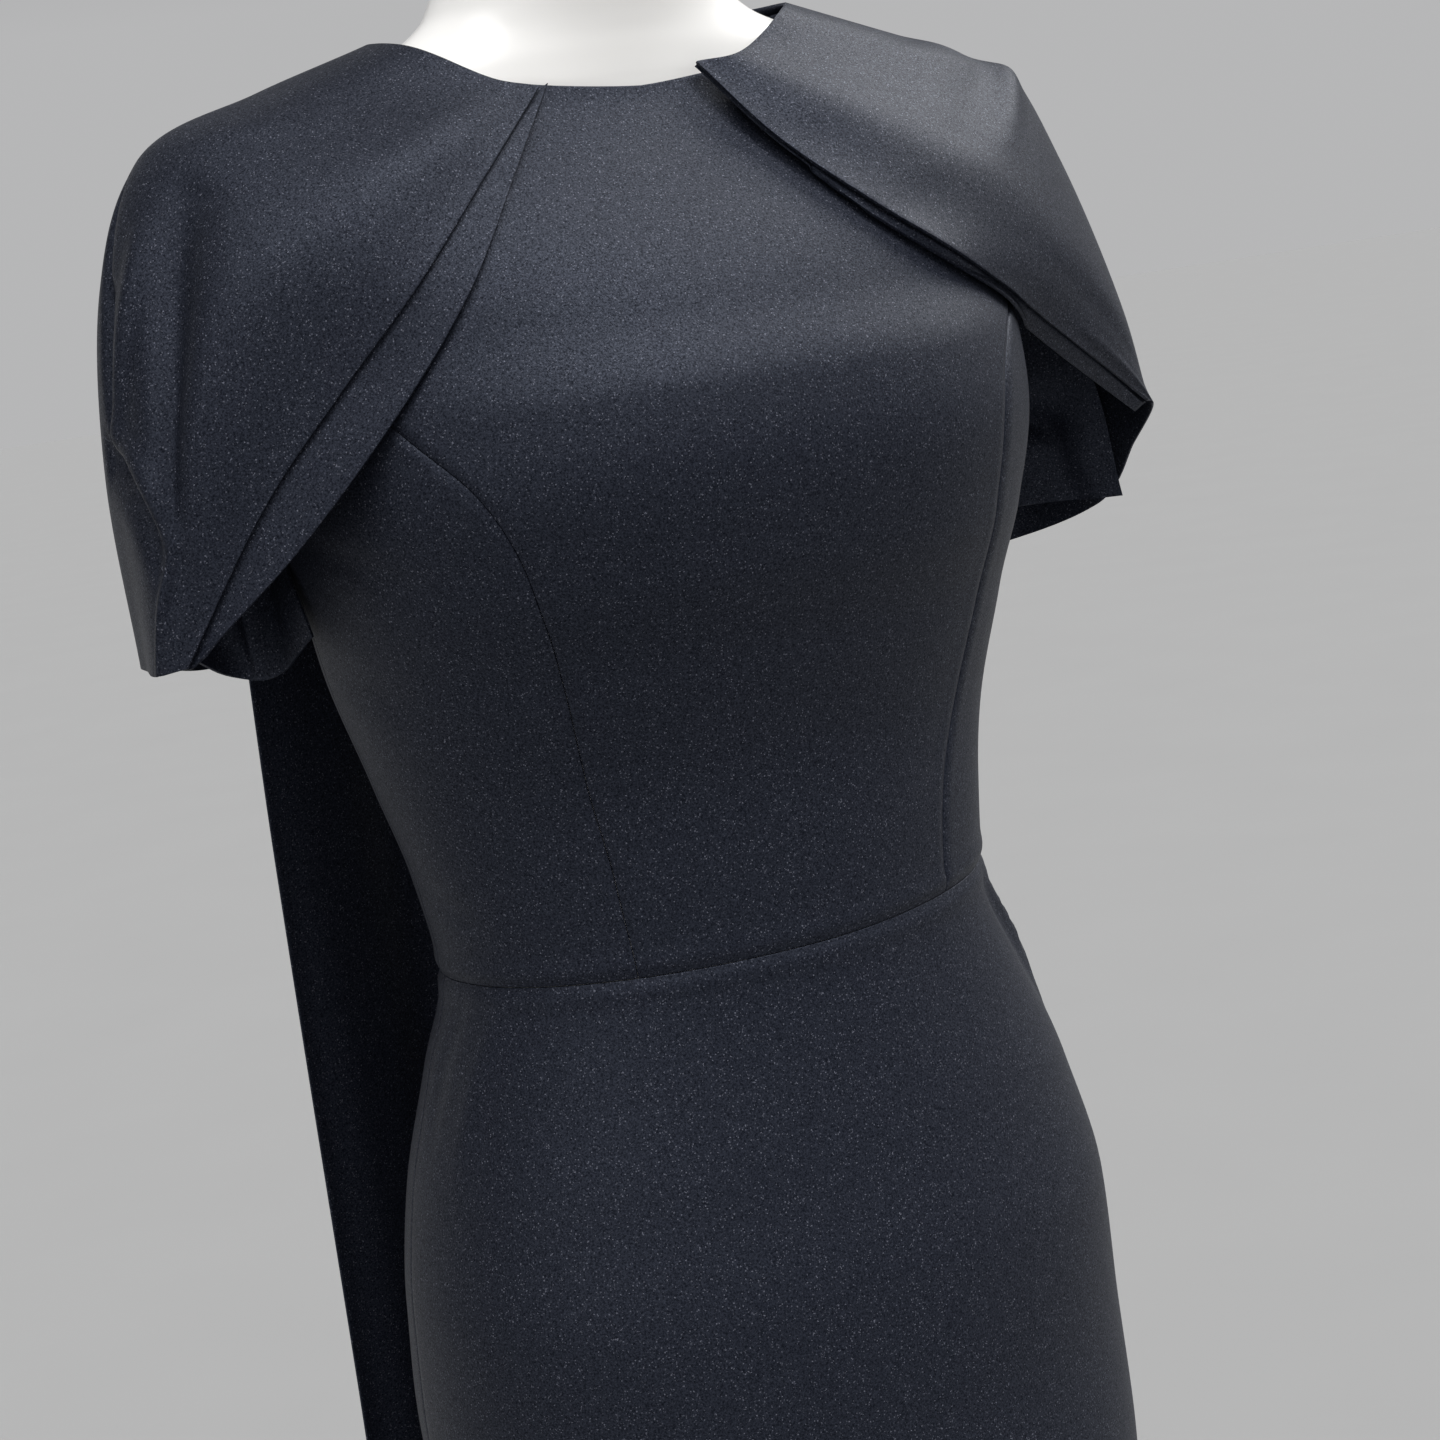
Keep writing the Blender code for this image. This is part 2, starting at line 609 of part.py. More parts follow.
# Skirt: one front and two backs from the waist to the knee, then the flounce
back_seam = 180.0
around_back = 360.0 - SIDE_SEAM
cloth("skirt_front", 18, SKIRT_ROWS, skirt_piece(-SIDE_SEAM, SIDE_SEAM), crepe)
cloth("skirt_back_left", 8, SKIRT_ROWS, skirt_piece(SIDE_SEAM, back_seam), crepe)
cloth("skirt_back_right", 8, SKIRT_ROWS, skirt_piece(back_seam, around_back), crepe)
cloth("flounce_front", 48, 5, flounce_piece(-SIDE_SEAM, SIDE_SEAM), crepe)
cloth("flounce_back_left", 20, 5, flounce_piece(SIDE_SEAM, back_seam), crepe)
cloth("flounce_back_right", 20, 5, flounce_piece(back_seam, around_back), crepe)

# Cape sleeves: a drape over each shoulder, and the band turned back along its front
cloth("sleeve_left", 18, 12, sleeve_place(SLEEVE_LEFT, BAND_DROP_LEFT, +1), crepe, fitted=False)
cloth("sleeve_right", 18, 12, sleeve_place(SLEEVE_RIGHT, BAND_DROP_RIGHT, -1), crepe, fitted=False)
cloth("sleeve_band_left", 3, 12, band_place(SLEEVE_LEFT, BAND_EDGE_LEFT, BAND_DROP_LEFT, +1), crepe,
      fitted=False)
cloth("sleeve_band_right", 3, 12, band_place(SLEEVE_RIGHT, BAND_EDGE_RIGHT, BAND_DROP_RIGHT, -1), crepe,
      fitted=False)

# Flaps inside the sleeves, free but for their top edge
cloth("sleeve_flap_left", 8, 6, flap_place(FLAP_LEFT, +1), crepe, fitted=False)
cloth("sleeve_flap_right", 8, 6, flap_place(FLAP_RIGHT, -1), crepe, fitted=False)

# Back cape, in two halves joined down the centre back
cloth("cape_left", 7, 18, cape_place(+1), crepe, fitted=False)
cloth("cape_right", 7, 18, cape_place(-1), crepe, fitted=False)
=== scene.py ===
"""A mermaid evening dress in dark crepe on a white limbless dress form.

Metres, +Z up. The origin is the centre of the stand's underside, on the floor. The dress faces -Y,
and the wearer's right is at -X. An angle of 0 on the body is the centre front, +90 degrees the
wearer's left side and 180 degrees the centre back.
"""
import math

import bmesh
import bpy
import numpy as np
from mathutils import Matrix, Vector
from mathutils.bvhtree import BVHTree


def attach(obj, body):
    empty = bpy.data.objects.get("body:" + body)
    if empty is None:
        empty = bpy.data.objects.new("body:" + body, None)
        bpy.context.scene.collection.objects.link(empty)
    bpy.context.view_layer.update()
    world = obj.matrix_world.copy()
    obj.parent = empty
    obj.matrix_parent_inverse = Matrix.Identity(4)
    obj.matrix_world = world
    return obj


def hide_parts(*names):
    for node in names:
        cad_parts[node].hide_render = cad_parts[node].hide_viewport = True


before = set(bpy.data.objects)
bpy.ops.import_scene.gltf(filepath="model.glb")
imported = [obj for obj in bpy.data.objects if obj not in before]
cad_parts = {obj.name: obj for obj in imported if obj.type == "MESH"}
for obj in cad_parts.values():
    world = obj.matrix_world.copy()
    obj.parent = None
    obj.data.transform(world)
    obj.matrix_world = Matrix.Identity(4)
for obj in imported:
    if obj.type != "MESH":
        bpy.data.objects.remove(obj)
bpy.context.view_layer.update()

# ------------------------------------------------------------
# Camera: close to the dress, a little to the wearer's right and just above the shoulders, looking
# slightly down and tipped to one side, as the dress is seen in the photograph.
CAMERA_ROUND = -27.0
CAMERA_DISTANCE = 1.200
CAMERA_HEIGHT = 1.3133
CAMERA_TURN = -27.6192
CAMERA_TILT = -9.0703
CAMERA_ROLL = 7.9135
SENSOR = 36.0
LENS = 72.15

camera_data = bpy.data.cameras.new("camera")
camera_data.sensor_width = SENSOR
camera_data.lens = LENS
camera_data.clip_start = 0.05
camera_data.clip_end = 200
camera = bpy.data.objects.new("camera", camera_data)
camera_place = Vector((math.sin(math.radians(CAMERA_ROUND)) * CAMERA_DISTANCE,
                       -math.cos(math.radians(CAMERA_ROUND)) * CAMERA_DISTANCE,
                       CAMERA_HEIGHT))
camera.matrix_world = (Matrix.Translation(camera_place)
                       @ Matrix.Rotation(math.radians(CAMERA_TURN), 4, "Z")
                       @ Matrix.Rotation(math.radians(90 + CAMERA_TILT), 4, "X")
                       @ Matrix.Rotation(math.radians(-CAMERA_ROLL), 4, "Z"))
bpy.context.scene.collection.objects.link(camera)
bpy.context.scene.camera = camera

# ------------------------------------------------------------
# Torso of the dress form: a smooth moulded glass-fibre shell in glossy white with a plain neck
# and a rounded foot. Its sections are the dress's own, taken in by the cloth and a small gap.
WALL = 0.0015
FORM_GAP = 0.0020
SHOULDER_SINK = 0.0040
SINK_FROM = 1.30
SINK_OVER = 0.06
FORM_SINK = 1.7
FORM_SIDES = 120
FORM_RINGS = 110
FORM_FIRST = 0.774
FORM_LAST_BODY = 1.382
FORM_TOP = 1.500
FOOT_START = 0.82
FOOT_RINGS = 9
FOOT_DEPTH = 0.014
WHITE_SHADED = (0.86, 0.845, 0.82, 1)
WHITE_CLEAR = (0.90, 0.89, 0.87, 1)

# Outside of the fitted dress: height, half width, depth to the front and to the back,
# centre line's y, and how square the front and the back are (2 is an ellipse)
BODY = np.array([
    (0.490, .1360, .107, .111, -.002, 2.05, 2.05),
    (0.560, .1385, .109, .114, -.004, 2.05, 2.10),
    (0.630, .1440, .113, .119, -.006, 2.10, 2.10),
    (0.700, .1500, .117, .124, -.006, 2.10, 2.10),
    (0.780, .1565, .119, .128, -.005, 2.10, 2.10),
    (0.850, .1590, .119, .130, +.000, 2.10, 2.15),
    (0.900, .1580, .115, .122, -.001, 2.15, 2.10),
    (0.950, .1500, .107, .111, +.002, 2.15, 2.05),
    (1.000, .1350, .097, .097, +.003, 2.10, 2.00),
    (1.040, .1235, .090, .088, +.001, 2.05, 2.00),
    (1.080, .1280, .092, .091, +.003, 2.05, 2.00),
    (1.120, .1370, .098, .097, +.007, 2.10, 2.00),
    (1.160, .1480, .110, .102, +.007, 2.15, 2.00),
    (1.200, .1565, .121, .106, +.002, 2.25, 2.00),
    (1.235, .1630, .126, .109, +.001, 2.30, 2.00),
    (1.265, .1665, .121, .111, +.002, 2.25, 2.00),
    (1.295, .1680, .108, .112, +.006, 2.20, 2.10),
    (1.325, .1730, .092, .108, +.008, 2.20, 2.20),
    (1.350, .1830, .076, .096, +.010, 2.20, 2.20),
    (1.368, .1935, .062, .082, +.011, 2.20, 2.20),
    (1.382, .1850, .052, .070, +.011, 2.15, 2.20),
    (1.394, .1530, .047, .060, +.011, 2.10, 2.20),
    (1.404, .1230, .044, .052, +.011, 2.10, 2.10),
    (1.414, .0920, .041, .047, +.011, 2.10, 2.10),
])
# The bare neck, in the same columns
FORM_NECK = np.array([
    (1.388, .1420, .0430, .0560, .0105, 1.85, 2.10),
    (1.396, .1200, .0430, .0490, .0105, 1.75, 2.05),
    (1.404, .0970, .0430, .0440, .0105, 1.75, 2.00),
    (1.412, .0780, .0435, .0435, .0105, 1.80, 2.00),
    (1.422, .0660, .0445, .0440, .0105, 1.90, 2.00),
    (1.436, .0600, .0450, .0445, .0105, 2.00, 2.00),
    (1.492, .0590, .0450, .0450, .0105, 2.00, 2.00),
    (1.498, .0570, .0430, .0430, .0105, 2.00, 2.00),
    (FORM_TOP, .0530, .0390, .0390, .0105, 2.00, 2.00),
])
# Rings of the neck: from height, to height, how many
NECK_PARTS = ((1.388, 1.436, 25), (1.446, 1.490, 6), (1.492, FORM_TOP, 9))


def slopes(knots, values):
    """Slopes for a smooth curve through the rows that never overshoots them."""
    step = np.diff(knots)
    rise = np.diff(values, axis=0) / step[:, None]
    slope = np.zeros_like(values)
    slope[0] = rise[0]
    slope[-1] = rise[-1]
    before = rise[:-1]
    after = rise[1:]
    same_way = before * after > 0
    mean = 2 * before * after / np.where(same_way, before + after, 1)
    slope[1:-1] = np.where(same_way, mean, 0)
    return slope


def along(table, position):
    """Read a table at any position, its first column, by a smooth curve through its rows."""
    knots = table[:, 0]
    values = table[:, 1:]
    slope = slopes(knots, values)
    position = np.clip(position, knots[0], knots[-1])
    row = np.clip(np.searchsorted(knots, position) - 1, 0, len(knots) - 2)
    step = (knots[row + 1] - knots[row])[..., None]
    t = ((position - knots[row])[..., None]) / step
    start = values[row] * (1 + 2 * t) * (1 - t) ** 2 + slope[row] * step * t * (1 - t) ** 2
    end = values[row + 1] * t * t * (3 - 2 * t) + slope[row + 1] * step * t * t * (t - 1)
    return start + end


def section_points(section, angle, height, offset=0.0):
    """Points at an angle round a section that is part ellipse, part rounded box."""
    half_width, front, back, middle, square_front, square_back = np.moveaxis(section, -1, 0)
    sine = np.sin(angle)
    cosine = np.cos(angle)
    depth = np.where(cosine > 0, front, back) + offset
    power = 2 / np.where(cosine > 0, square_front, square_back)
    x = (half_width + offset) * np.sign(sine) * np.abs(sine) ** power
    y = middle - depth * np.sign(cosine) * np.abs(cosine) ** power
    return np.stack(np.broadcast_arrays(x, y, height), axis=-1)


def bodice_sink(height):
    """The fitted dress lies a little deeper under the sleeves, above the bust."""
    share = np.clip((height - SINK_FROM) / SINK_OVER, 0, 1)
    return -SHOULDER_SINK * share * share * (3 - 2 * share)


def body_point(angle, height, offset=0.0):
    """A point of the dressed body, moved out square to it by an offset."""
    angle, height = np.broadcast_arrays(angle, height)
    turn = 0.01
    rise = 0.0006
    place = section_points(along(BODY, height), angle, height)
    around = (section_points(along(BODY, height), angle + turn, height)
              - section_points(along(BODY, height), angle - turn, height))
    upward = (section_points(along(BODY, height + rise), angle, height + rise)
              - section_points(along(BODY, height - rise), angle, height - rise))
    normal = np.cross(around, upward)
    normal = normal / np.linalg.norm(normal, axis=-1)[..., None]
    return place + normal * np.asarray(offset)[..., None]


def add_piece(name, bm, finish):
    """Turn a finished bmesh into a smooth piece at the origin that rides with the dress form."""
    mesh = bpy.data.meshes.new(name)
    bm.to_mesh(mesh)
    bm.free()
    mesh.materials.append(finish)
    mesh.shade_smooth()
    piece = bpy.data.objects.new(name, mesh)
    bpy.context.scene.collection.objects.link(piece)
    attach(piece, "root")
    return piece


def new_finish(name, roughness, metallic=0.0):
    """A material with its shader, its tree and the piece's own coordinates."""
    made = bpy.data.materials.new(name)
    made.use_nodes = True
    tree = made.node_tree
    shader = tree.nodes["Principled BSDF"]
    shader.inputs["Roughness"].default_value = roughness
    shader.inputs["Metallic"].default_value = metallic
    place = tree.nodes.new("ShaderNodeTexCoord").outputs["Object"]
    return made, tree, shader, place


def noise(tree, place, scale, detail=2.0, roughness=0.5, stretch=(1, 1, 1)):
    """A noise pattern, in cells per metre, that can be drawn out along an axis."""
    mapping = tree.nodes.new("ShaderNodeMapping")
    mapping.inputs["Scale"].default_value = stretch
    tree.links.new(place, mapping.inputs["Vector"])
    pattern = tree.nodes.new("ShaderNodeTexNoise")
    pattern.inputs["Scale"].default_value = scale
    pattern.inputs["Detail"].default_value = detail
    pattern.inputs["Roughness"].default_value = roughness
    tree.links.new(mapping.outputs["Vector"], pattern.inputs["Vector"])
    return pattern.outputs["Fac"]


def spread(tree, value, low, high, to_low, to_high):
    """Map a pattern from one range to another."""
    ranged = tree.nodes.new("ShaderNodeMapRange")
    ranged.inputs["From Min"].default_value = low
    ranged.inputs["From Max"].default_value = high
    ranged.inputs["To Min"].default_value = to_low
    ranged.inputs["To Max"].default_value = to_high
    tree.links.new(value, ranged.inputs["Value"])
    return ranged.outputs["Result"]


def mixed(tree, share, first, second):
    """Mix two colours by a pattern; either may be a colour or another node's output."""
    mix = tree.nodes.new("ShaderNodeMix")
    mix.data_type = "RGBA"
    tree.links.new(share, mix.inputs["Factor"])
    for socket, colour in (("A", first), ("B", second)):
        inlet = [s for s in mix.inputs if s.name == socket and s.type == "RGBA"][0]
        if isinstance(colour, tuple):
            inlet.default_value = colour
        else:
            tree.links.new(colour, inlet)
    return [s for s in mix.outputs if s.type == "RGBA"][0]


def raised(tree, shader, height, strength, distance):
    """Fine relief from a pattern."""
    bump = tree.nodes.new("ShaderNodeBump")
    bump.inputs["Strength"].default_value = strength
    bump.inputs["Distance"].default_value = distance
    tree.links.new(height, bump.inputs["Height"])
    tree.links.new(bump.outputs["Normal"], shader.inputs["Normal"])


form_white, tree, shader, place = new_finish("form_gloss_white", 0.34)
shader.inputs["Coat Weight"].default_value = 0.25
shader.inputs["Coat Roughness"].default_value = 0.12
clouding = spread(tree, noise(tree, place, scale=9), 0.3, 0.7, 0.0, 1.0)
tree.links.new(mixed(tree, clouding, WHITE_SHADED, WHITE_CLEAR), shader.inputs["Base Color"])
polish = spread(tree, noise(tree, place, scale=60, detail=3), 0.3, 0.7, 0.30, 0.40)
tree.links.new(polish, shader.inputs["Roughness"])
raised(tree, shader, noise(tree, place, scale=220), strength=0.05, distance=0.0004)

form_angles = np.linspace(0, 2 * math.pi, FORM_SIDES + 1)
foot = body_point(form_angles, FORM_FIRST, -WALL - FORM_GAP)
form_rings = []
for turn in np.linspace(FOOT_START, math.pi / 2, FOOT_RINGS)[:-1]:
    taper = math.sin(turn) ** 0.5
    drop = FORM_FIRST - FOOT_DEPTH * math.cos(turn)
    form_rings.append(foot * (taper, taper, 0) + (0, 0, drop))
for height in np.linspace(FORM_FIRST, FORM_LAST_BODY, FORM_RINGS):
    inset = FORM_SINK * bodice_sink(height) - WALL - FORM_GAP
    form_rings.append(body_point(form_angles, height, inset))
for height in np.concatenate([np.linspace(*part) for part in NECK_PARTS]):
    neck_row = np.tile(along(FORM_NECK, height), (FORM_SIDES + 1, 1))
    form_rings.append(section_points(neck_row, form_angles, height))
form_rings = np.array(form_rings)

bm = bmesh.new()
bmesh.ops.create_grid(bm, x_segments=FORM_SIDES, y_segments=len(form_rings) - 1, size=1)
for vert in bm.verts:
    ring = round((vert.co.y + 1) / 2 * (len(form_rings) - 1))
    side = round((vert.co.x + 1) / 2 * FORM_SIDES)
    vert.co = form_rings[ring, side]
bmesh.ops.remove_doubles(bm, verts=bm.verts[:], dist=0.00005)
open_ends = [edge for edge in bm.edges if edge.is_boundary]
bmesh.ops.holes_fill(bm, edges=open_ends, sides=0)
bmesh.ops.recalc_face_normals(bm, faces=bm.faces[:])
torso = add_piece("form_torso", bm, form_white)
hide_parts("form_body")

# ------------------------------------------------------------
# Pole: a brushed steel tube with a turned collar at its foot and a flat plate under the torso.
# It is turned in one piece and stands in the base.
BASE_THICKNESS = 0.008
POLE_RADIUS = 0.0125
PLATE_RADIUS = 0.045
TOUCH_GAP = 0.0003
POLE_FOOT = BASE_THICKNESS + TOUCH_GAP
POLE_TOP = 0.760 - TOUCH_GAP
POLE_ROUNDING = 0.0012
TURNED_STEPS = 96
STEEL_DARK = (0.50, 0.50, 0.51, 1)
STEEL_LIGHT = (0.66, 0.66, 0.67, 1)

# Outline of the pole with its plate and its collar, from the top down: radius and height
POLE_OUTLINE = (
    (0, POLE_TOP),
    (PLATE_RADIUS, POLE_TOP),
    (PLATE_RADIUS, POLE_TOP - 0.006),
    (POLE_RADIUS + 0.004, POLE_TOP - 0.010),
    (POLE_RADIUS, POLE_TOP - 0.030),
    (POLE_RADIUS, POLE_FOOT + 0.030),
    (POLE_RADIUS + 0.010, POLE_FOOT + 0.022),
    (POLE_RADIUS + 0.018, POLE_FOOT + 0.004),
    (POLE_RADIUS + 0.018, POLE_FOOT),
    (0, POLE_FOOT),
)


def turned(name, profile, finish, rounding):
    """A solid of revolution from an outline of radius and height, its corners rounded."""
    bm = bmesh.new()
    verts = [bm.verts.new((radius, 0, height)) for radius, height in profile]
    for pair in zip(verts, verts[1:]):
        bm.edges.new(pair)
    bmesh.ops.bevel(bm, geom=verts[1:-1], offset=rounding, segments=3, profile=0.5,
                    affect="VERTICES", material=-1)
    bmesh.ops.spin(bm, geom=bm.verts[:] + bm.edges[:], cent=(0, 0, 0), axis=(0, 0, 1),
                   angle=2 * math.pi, steps=TURNED_STEPS, use_merge=True)
    bmesh.ops.remove_doubles(bm, verts=bm.verts[:], dist=0.00002)
    bmesh.ops.recalc_face_normals(bm, faces=bm.faces[:])
    return add_piece(name, bm, finish)


steel, tree, shader, place = new_finish("pole_brushed_steel", 0.3, 1.0)
brushing = noise(tree, place, scale=900, detail=3, roughness=0.6, stretch=(0.06, 0.06, 1.0))
streaks = spread(tree, brushing, 0.3, 0.7, 0.0, 1.0)
tree.links.new(mixed(tree, streaks, STEEL_DARK, STEEL_LIGHT), shader.inputs["Base Color"])
tree.links.new(spread(tree, brushing, 0.3, 0.7, 0.24, 0.38), shader.inputs["Roughness"])
raised(tree, shader, brushing, strength=0.1, distance=0.0002)

pole = turned("stand_pole", POLE_OUTLINE, steel, POLE_ROUNDING)
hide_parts("form_pole")

# ------------------------------------------------------------
# Base: a round steel plate, cut and turned, its edge broken and the whole stove-enamelled dark.
# It lies flat on the floor and carries everything.
BASE_RADIUS = 0.170
BASE_BROKEN_EDGE = 0.002
BASE_ROUNDING = 0.0006
BASE_OUTLINE = (
    (0, BASE_THICKNESS),
    (BASE_RADIUS - BASE_BROKEN_EDGE, BASE_THICKNESS),
    (BASE_RADIUS, BASE_THICKNESS - BASE_BROKEN_EDGE),
    (BASE_RADIUS, 0),
    (0, 0),
)
ENAMEL_DARK = (0.050, 0.050, 0.054, 1)
ENAMEL_LIGHT = (0.085, 0.085, 0.090, 1)

enamel, tree, shader, place = new_finish("base_enamel", 0.4)
mottle = spread(tree, noise(tree, place, scale=14, detail=3), 0.35, 0.65, 0.0, 1.0)
tree.links.new(mixed(tree, mottle, ENAMEL_DARK, ENAMEL_LIGHT), shader.inputs["Base Color"])
wear = spread(tree, noise(tree, place, scale=40, detail=4), 0.3, 0.7, 0.32, 0.52)
tree.links.new(wear, shader.inputs["Roughness"])
raised(tree, shader, noise(tree, place, scale=700), strength=0.12, distance=0.0003)

base = turned("stand_base", BASE_OUTLINE, enamel, BASE_ROUNDING)
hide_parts("form_base")

# ------------------------------------------------------------
# Bodice: a centre front between two princess seams, two side fronts and two backs, cut from
# dark satin-backed crepe and seamed from the wrong side, so that each seam is a fine groove.
WAIST = 1.040
WAIST_LIFT = 0.0062
WAIST_SPREAD = 0.070
NECK_FRONT = 1.385
NECK_SIDE = 1.4135
NECK_BACK = 1.4075
SHOULDER_TIP = 1.3885
ARMHOLE_FRONT = 1.290
UNDERARM = 1.232
SIDE_SEAM = 97.0
SEAM_GAP = 0.00014
WAIST_PUFF = 0.0006
WAIST_PULL = 0.0009
PRINCESS_PUFF = 0.0002
PRINCESS_PULL = 0.0007
PUFF_AWAY = 0.0055
PUFF_WIDTH = 0.0035
PULL_WIDTH = 0.0022
RELIEF_FADE = 0.010
CLOTH = 0.0012
EDGE_ROUNDING = 0.00042
SEAM_SPACING = 1.3
YOKE_SPACING = 1.2
NIGHT_BLUE = (0.0040, 0.0050, 0.0085, 1)
NIGHT_BLUE_LIT = (0.0125, 0.0145, 0.0230, 1)
# Painted glint: a bright base colour for rare cells of the crepe, standing in for its sparkle of
# light
PAINTED_GLINT = (0.26, 0.27, 0.33, 1)
SATIN_TINT = (0.70, 0.78, 1.0, 1)
PEBBLE_LOW = 0.34
PEBBLE_HIGH = 0.66
GLINTS_A_METRE = 2300

# Princess seams: height and angle from the centre front
PRINCESS_RIGHT = np.array([
    (1.040, 36.5), (1.070, 37.0), (1.120, 37.0), (1.150, 37.0), (1.171, 37.5), (1.194, 39.2),
    (1.209, 40.2), (1.222, 41.8), (1.234, 44.0), (1.243, 46.4), (1.249, 48.6), (1.258, 52.2),
    (1.268, 56.0), (ARMHOLE_FRONT, 63.0),
])
PRINCESS_LEFT = np.array([
    (1.040, 34.0), (1.070, 35.0), (1.090, 36.5), (1.107, 38.3), (1.125, 39.8), (1.145, 40.5),
    (1.171, 41.2), (1.189, 40.8), (1.206, 39.9), (1.228, 39.6), (1.249, 42.0), (1.268, 49.0),
    (ARMHOLE_FRONT, 63.0),
])
# Armholes, in the same columns, ahead of the arm and behind it
ARMHOLE_AHEAD = np.array([
    (ARMHOLE_FRONT, 63.0), (1.305, 59.0), (1.320, 57.0), (1.350, 55.0), (1.368, 54.0),
    (1.380, 65.0), (SHOULDER_TIP, 90.0),
])
ARMHOLE_BEHIND = np.array([
    (UNDERARM, SIDE_SEAM), (1.262, 110.0), (1.300, 118.0), (1.345, 121.0), (1.368, 124.0),
    (1.380, 116.0), (SHOULDER_TIP, 90.0),
])
RIGHT_BOUND = np.vstack([PRINCESS_RIGHT, ARMHOLE_AHEAD[1:], (NECK_SIDE, 90.0)])
LEFT_BOUND = np.vstack([PRINCESS_LEFT, ARMHOLE_AHEAD[1:], (NECK_SIDE, 90.0)])
BACK_BOUND = np.vstack([(WAIST, SIDE_SEAM), ARMHOLE_BEHIND, (NECK_SIDE, 90.0)])

# Soft creases of the fitted dress: from (degrees, height) to (degrees, height), how far the
# crease bows in metres, its depth (in is positive) and its width
BODY_FOLDS = (
    (63, 1.030, 74, 0.966, +.006, -.0034, .0045),
    (58, 1.032, 66, 0.975, +.004, +.0016, .007),
    (82, 1.030, 84, 0.955, +.004, +.0014, .008),
    (-70, 1.030, -78, 0.965, -.004, -.0012, .007),
    (-84, 1.034, -90, 0.970, -.004, +.0012, .007),
    (20, 1.030, 24, 0.985, +.003, +.0005, .010),
    (-16, 1.032, -20, 0.980, -.003, +.0005, .010),
    (60, 1.200, 92, 1.222, +.004, +.0009, .007),
    (66, 1.180, 95, 1.196, +.004, -.0007, .008),
    (-60, 1.206, -92, 1.224, -.004, +.0009, .007),
    (-62, 1.150, -94, 1.172, -.004, +.0008, .009),
    (70, 1.070, 98, 1.082, +.003, +.0009, .007),
    (-72, 1.066, -100, 1.080, -.003, +.0009, .007),
    (118, 1.290, 150, 1.250, +.006, +.0012, .010),
    (-118, 1.290, -148, 1.246, -.006, +.0012, .010),
    (120, 1.090, 158, 1.066, +.004, +.0012, .008),
    (-122, 1.086, -156, 1.070, -.004, +.0012, .008),
    (150, 1.120, 176, 1.100, +.003, +.0010, .008),
    (-148, 1.124, -176, 1.104, -.003, +.0010, .008),
    (112, 1.020, 120, 0.960, +.004, +.0014, .008),
    (-110, 1.022, -117, 0.966, -.004, +.0014, .008),
    (140, 1.018, 134, 0.950, +.004, -.0012, .009),
    (-142, 1.016, -136, 0.955, -.004, -.0012, .009),
    (100, 0.640, 128, 0.520, +.012, +.0030, .016),
    (-104, 0.650, -130, 0.530, -.012, +.0030, .016),
    (56, 0.620, 78, 0.505, +.010, +.0022, .015),
    (-50, 0.610, -72, 0.505, -.010, +.0022, .015),
    (10, 0.600, 22, 0.500, +.008, +.0016, .014),
    (-14, 0.590, -26, 0.500, -.008, +.0016, .014),
    (154, 0.640, 168, 0.510, +.010, +.0024, .015),
    (-156, 0.630, -170, 0.510, -.010, +.0024, .015),
)
FOLD_STEPS = 14
FAR_AWAY = 9.0
FADE_START = 0.10
FADE_SPAN = 0.86
FADE_POWER = 0.8


def crease_depth(across, along_it, folds):
    """How far soft creases press the cloth in, at places given in metres on the flat cloth."""
    depth = np.zeros_like(across)
    for start_u, start_v, end_u, end_v, bow, deep, width in folds:
        length = math.hypot(end_u - start_u, end_v - start_v)
        share = np.linspace(0, 1, FOLD_STEPS)
        bowed = 4 * bow * share * (1 - share) / length
        path_u = start_u + (end_u - start_u) * share - (end_v - start_v) * bowed
        path_v = start_v + (end_v - start_v) * share + (end_u - start_u) * bowed
        nearest = np.full(across.shape, FAR_AWAY)
        place_on = np.zeros_like(across)
        for step in range(FOLD_STEPS - 1):
            run_u = path_u[step + 1] - path_u[step]
            run_v = path_v[step + 1] - path_v[step]
            from_u = across - path_u[step]
            from_v = along_it - path_v[step]
            t = (from_u * run_u + from_v * run_v) / (run_u ** 2 + run_v ** 2)
            t = np.clip(t, 0, 1)
            distance = np.hypot(from_u - run_u * t, from_v - run_v * t)
            closer = distance < nearest
            nearest = np.where(closer, distance, nearest)
            place_on = np.where(closer, (step + t) / (FOLD_STEPS - 1), place_on)
        faded = np.clip(place_on * FADE_SPAN + FADE_START, 0, 1)
        fade = np.sin(math.pi * faded) ** FADE_POWER
        depth += deep * fade * np.exp(-(nearest / width) ** 2)
    return depth


ROUND_BODY = 0.130


def within_half_turn(angle):
    """The same direction, between -180 and +180 degrees."""
    return (angle + math.pi) % (2 * math.pi) - math.pi


def fitted_crease(angle, height):
    """Creases of the fitted dress, measured on the body unrolled flat."""
    folds = [(math.radians(a) * ROUND_BODY, b, math.radians(c) * ROUND_BODY, d, bow, deep, width)
             for a, b, c, d, bow, deep, width in BODY_FOLDS]
    return -crease_depth(within_half_turn(angle) * ROUND_BODY, height, folds)


def seam_angle(height):
    """The angle that half a seam's gap takes up at this height."""
    return SEAM_GAP / 2 / along(BODY, height)[..., 1]


def neck_height(angle):
    """Round neckline: lowest at the centre front, nearly level behind."""
    sine = np.abs(np.sin(angle))
    front = NECK_FRONT + (NECK_SIDE - NECK_FRONT) * sine ** 1.3
    back = NECK_BACK + (NECK_SIDE - NECK_BACK) * sine ** 2
    return np.where(np.cos(angle) > 0, front, back)


def bound_angle(bound, height):
    """Where a piece ends at this height, read from its seam's table."""
    return np.radians(along(bound, height)[..., 0])


